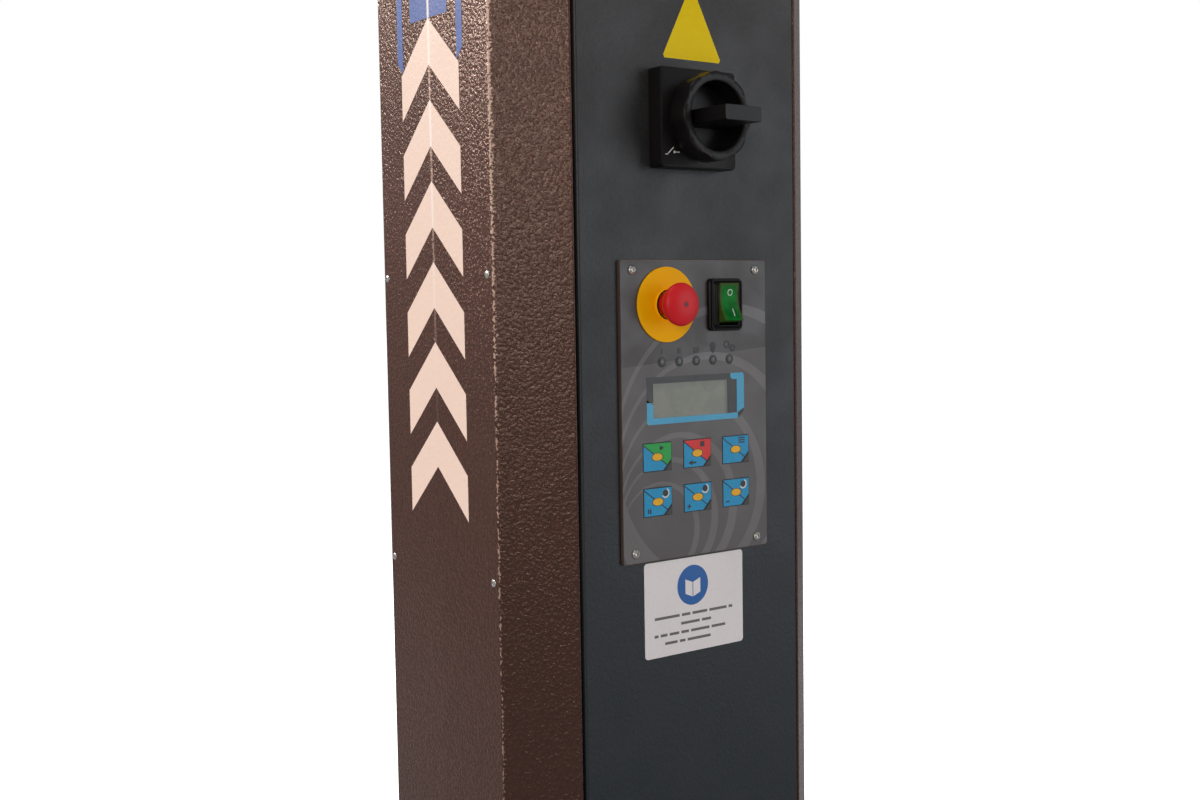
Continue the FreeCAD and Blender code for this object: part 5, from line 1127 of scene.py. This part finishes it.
for make in (make_plate_screws, make_side_screws, make_stop_head, make_stop_ring, make_rocker,
             make_rocker_marks, make_switch_plate, make_switch_handle, make_display_print, make_lamps,
             make_lamp_signs, make_key_signs, make_labels, make_side_prints, make_tread,
             make_foot_bolts, make_cover_screws, make_foot_welds, make_gland, make_mast_details,
             make_rollers, make_mandrel_ribs, make_carriage_details, make_photocell_details):
    make()


# ---- stage, lights and camera, in metres

def make_stage():
    """A wide pale floor: it looks nearly white, and throws less light up than it shows."""
    mesh = bpy.data.meshes.new("floor")
    half = 60.0
    mesh.from_pydata([(-half, -half, 0), (half, -half, 0), (half, half, 0), (-half, half, 0)], [],
                     [(0, 1, 2, 3)])
    floor = bpy.data.objects.new("floor", mesh)
    bpy.context.scene.collection.objects.link(floor)
    made = Finish("floor", (0.9, 0.9, 0.9), 0.8, specular_ior_level=0.0, emission_color=(1.0, 1.0, 1.0, 1.0))
    seen = made.node("ShaderNodeLightPath").outputs["Is Camera Ray"]
    made.colour(made.mix(seen, (0.28, 0.28, 0.29), (0.9, 0.9, 0.9)))
    made.links.new(made.times(seen, 0.5), made.shader.inputs["Emission Strength"])
    mesh.materials.append(made.material)


def make_world():
    world = bpy.data.worlds.new("studio")
    bpy.context.scene.world = world
    world.use_nodes = True
    tree = world.node_tree
    background = next(n for n in tree.nodes if n.type == "BACKGROUND")
    background.inputs["Color"].default_value = (1.0, 1.0, 1.0, 1.0)
    seen = tree.nodes.new("ShaderNodeLightPath").outputs["Is Camera Ray"]
    level = tree.nodes.new("ShaderNodeMapRange")
    tree.links.new(seen, level.inputs["Value"])
    level.inputs["To Min"].default_value = 0.31
    level.inputs["To Max"].default_value = 1.0
    tree.links.new(level.outputs[0], background.inputs["Strength"])


def add_light(name, kind, power, direction, place=(0.0, 0.0, 0.0)):
    """A light that shines along this direction."""
    data = bpy.data.lights.new(name, kind)
    data.energy = power
    lamp = bpy.data.objects.new(name, data)
    bpy.context.scene.collection.objects.link(lamp)
    lamp.location = place
    lamp.rotation_mode = "QUATERNION"
    lamp.rotation_quaternion = Vector(direction).to_track_quat("-Z", "Y")
    return lamp


def add_area(name, place, target, size, power, colour):
    lamp = add_light(name, "AREA", power, Vector(target) - Vector(place), place)
    lamp.data.shape = "RECTANGLE"
    lamp.data.size, lamp.data.size_y = size
    lamp.data.color = colour
    lamp.visible_camera = False


def make_camera():
    data = bpy.data.cameras.new("camera")
    camera = bpy.data.objects.new("camera", data)
    bpy.context.scene.collection.objects.link(camera)
    data.lens = 42.8
    data.sensor_width = 36.0
    data.clip_end = 200.0
    yaw, pitch, roll = (math.radians(a) for a in (36.90, 3.965, -0.923))
    forward = Vector((math.sin(yaw) * math.cos(pitch), math.cos(yaw) * math.cos(pitch), -math.sin(pitch)))
    right = Vector((math.cos(yaw), -math.sin(yaw), 0.0))
    above = right.cross(forward)
    turned = math.cos(roll) * right + math.sin(roll) * above
    top = turned.cross(forward)
    camera.rotation_mode = "QUATERNION"
    camera.rotation_quaternion = Matrix((turned, top, -forward)).transposed().to_quaternion()
    camera.location = (-0.75726, -2.3458, 1.3532)
    bpy.context.scene.camera = camera


make_stage()
make_world()
make_camera()
bpy.context.scene.view_settings.view_transform = "Standard"
add_light("sun", "SUN", 1.4, (0.25, -0.15, -1.0)).data.angle = math.radians(30)
add_area("rear_left", (-3.2, 2.4, 3.6), (-0.15, -1.35, 1.7), (1.3, 1.2), 190, (1.0, 0.86, 0.78))
add_area("front_left", (-3.4, -4.2, 2.25), (-0.1, -1.4, 1.4), (1.4, 1.2), 46, (1.0, 0.9, 0.82))
add_area("front_right", (2.6, -4.4, 1.6), (0.0, -1.4, 1.3), (2.0, 2.4), 29, (0.9, 0.94, 1.0))
add_area("rear_right", (2.6, 3.4, 3.0), (0.0, -0.8, 0.8), (2.4, 2.4), 150, (1.0, 0.97, 0.93))
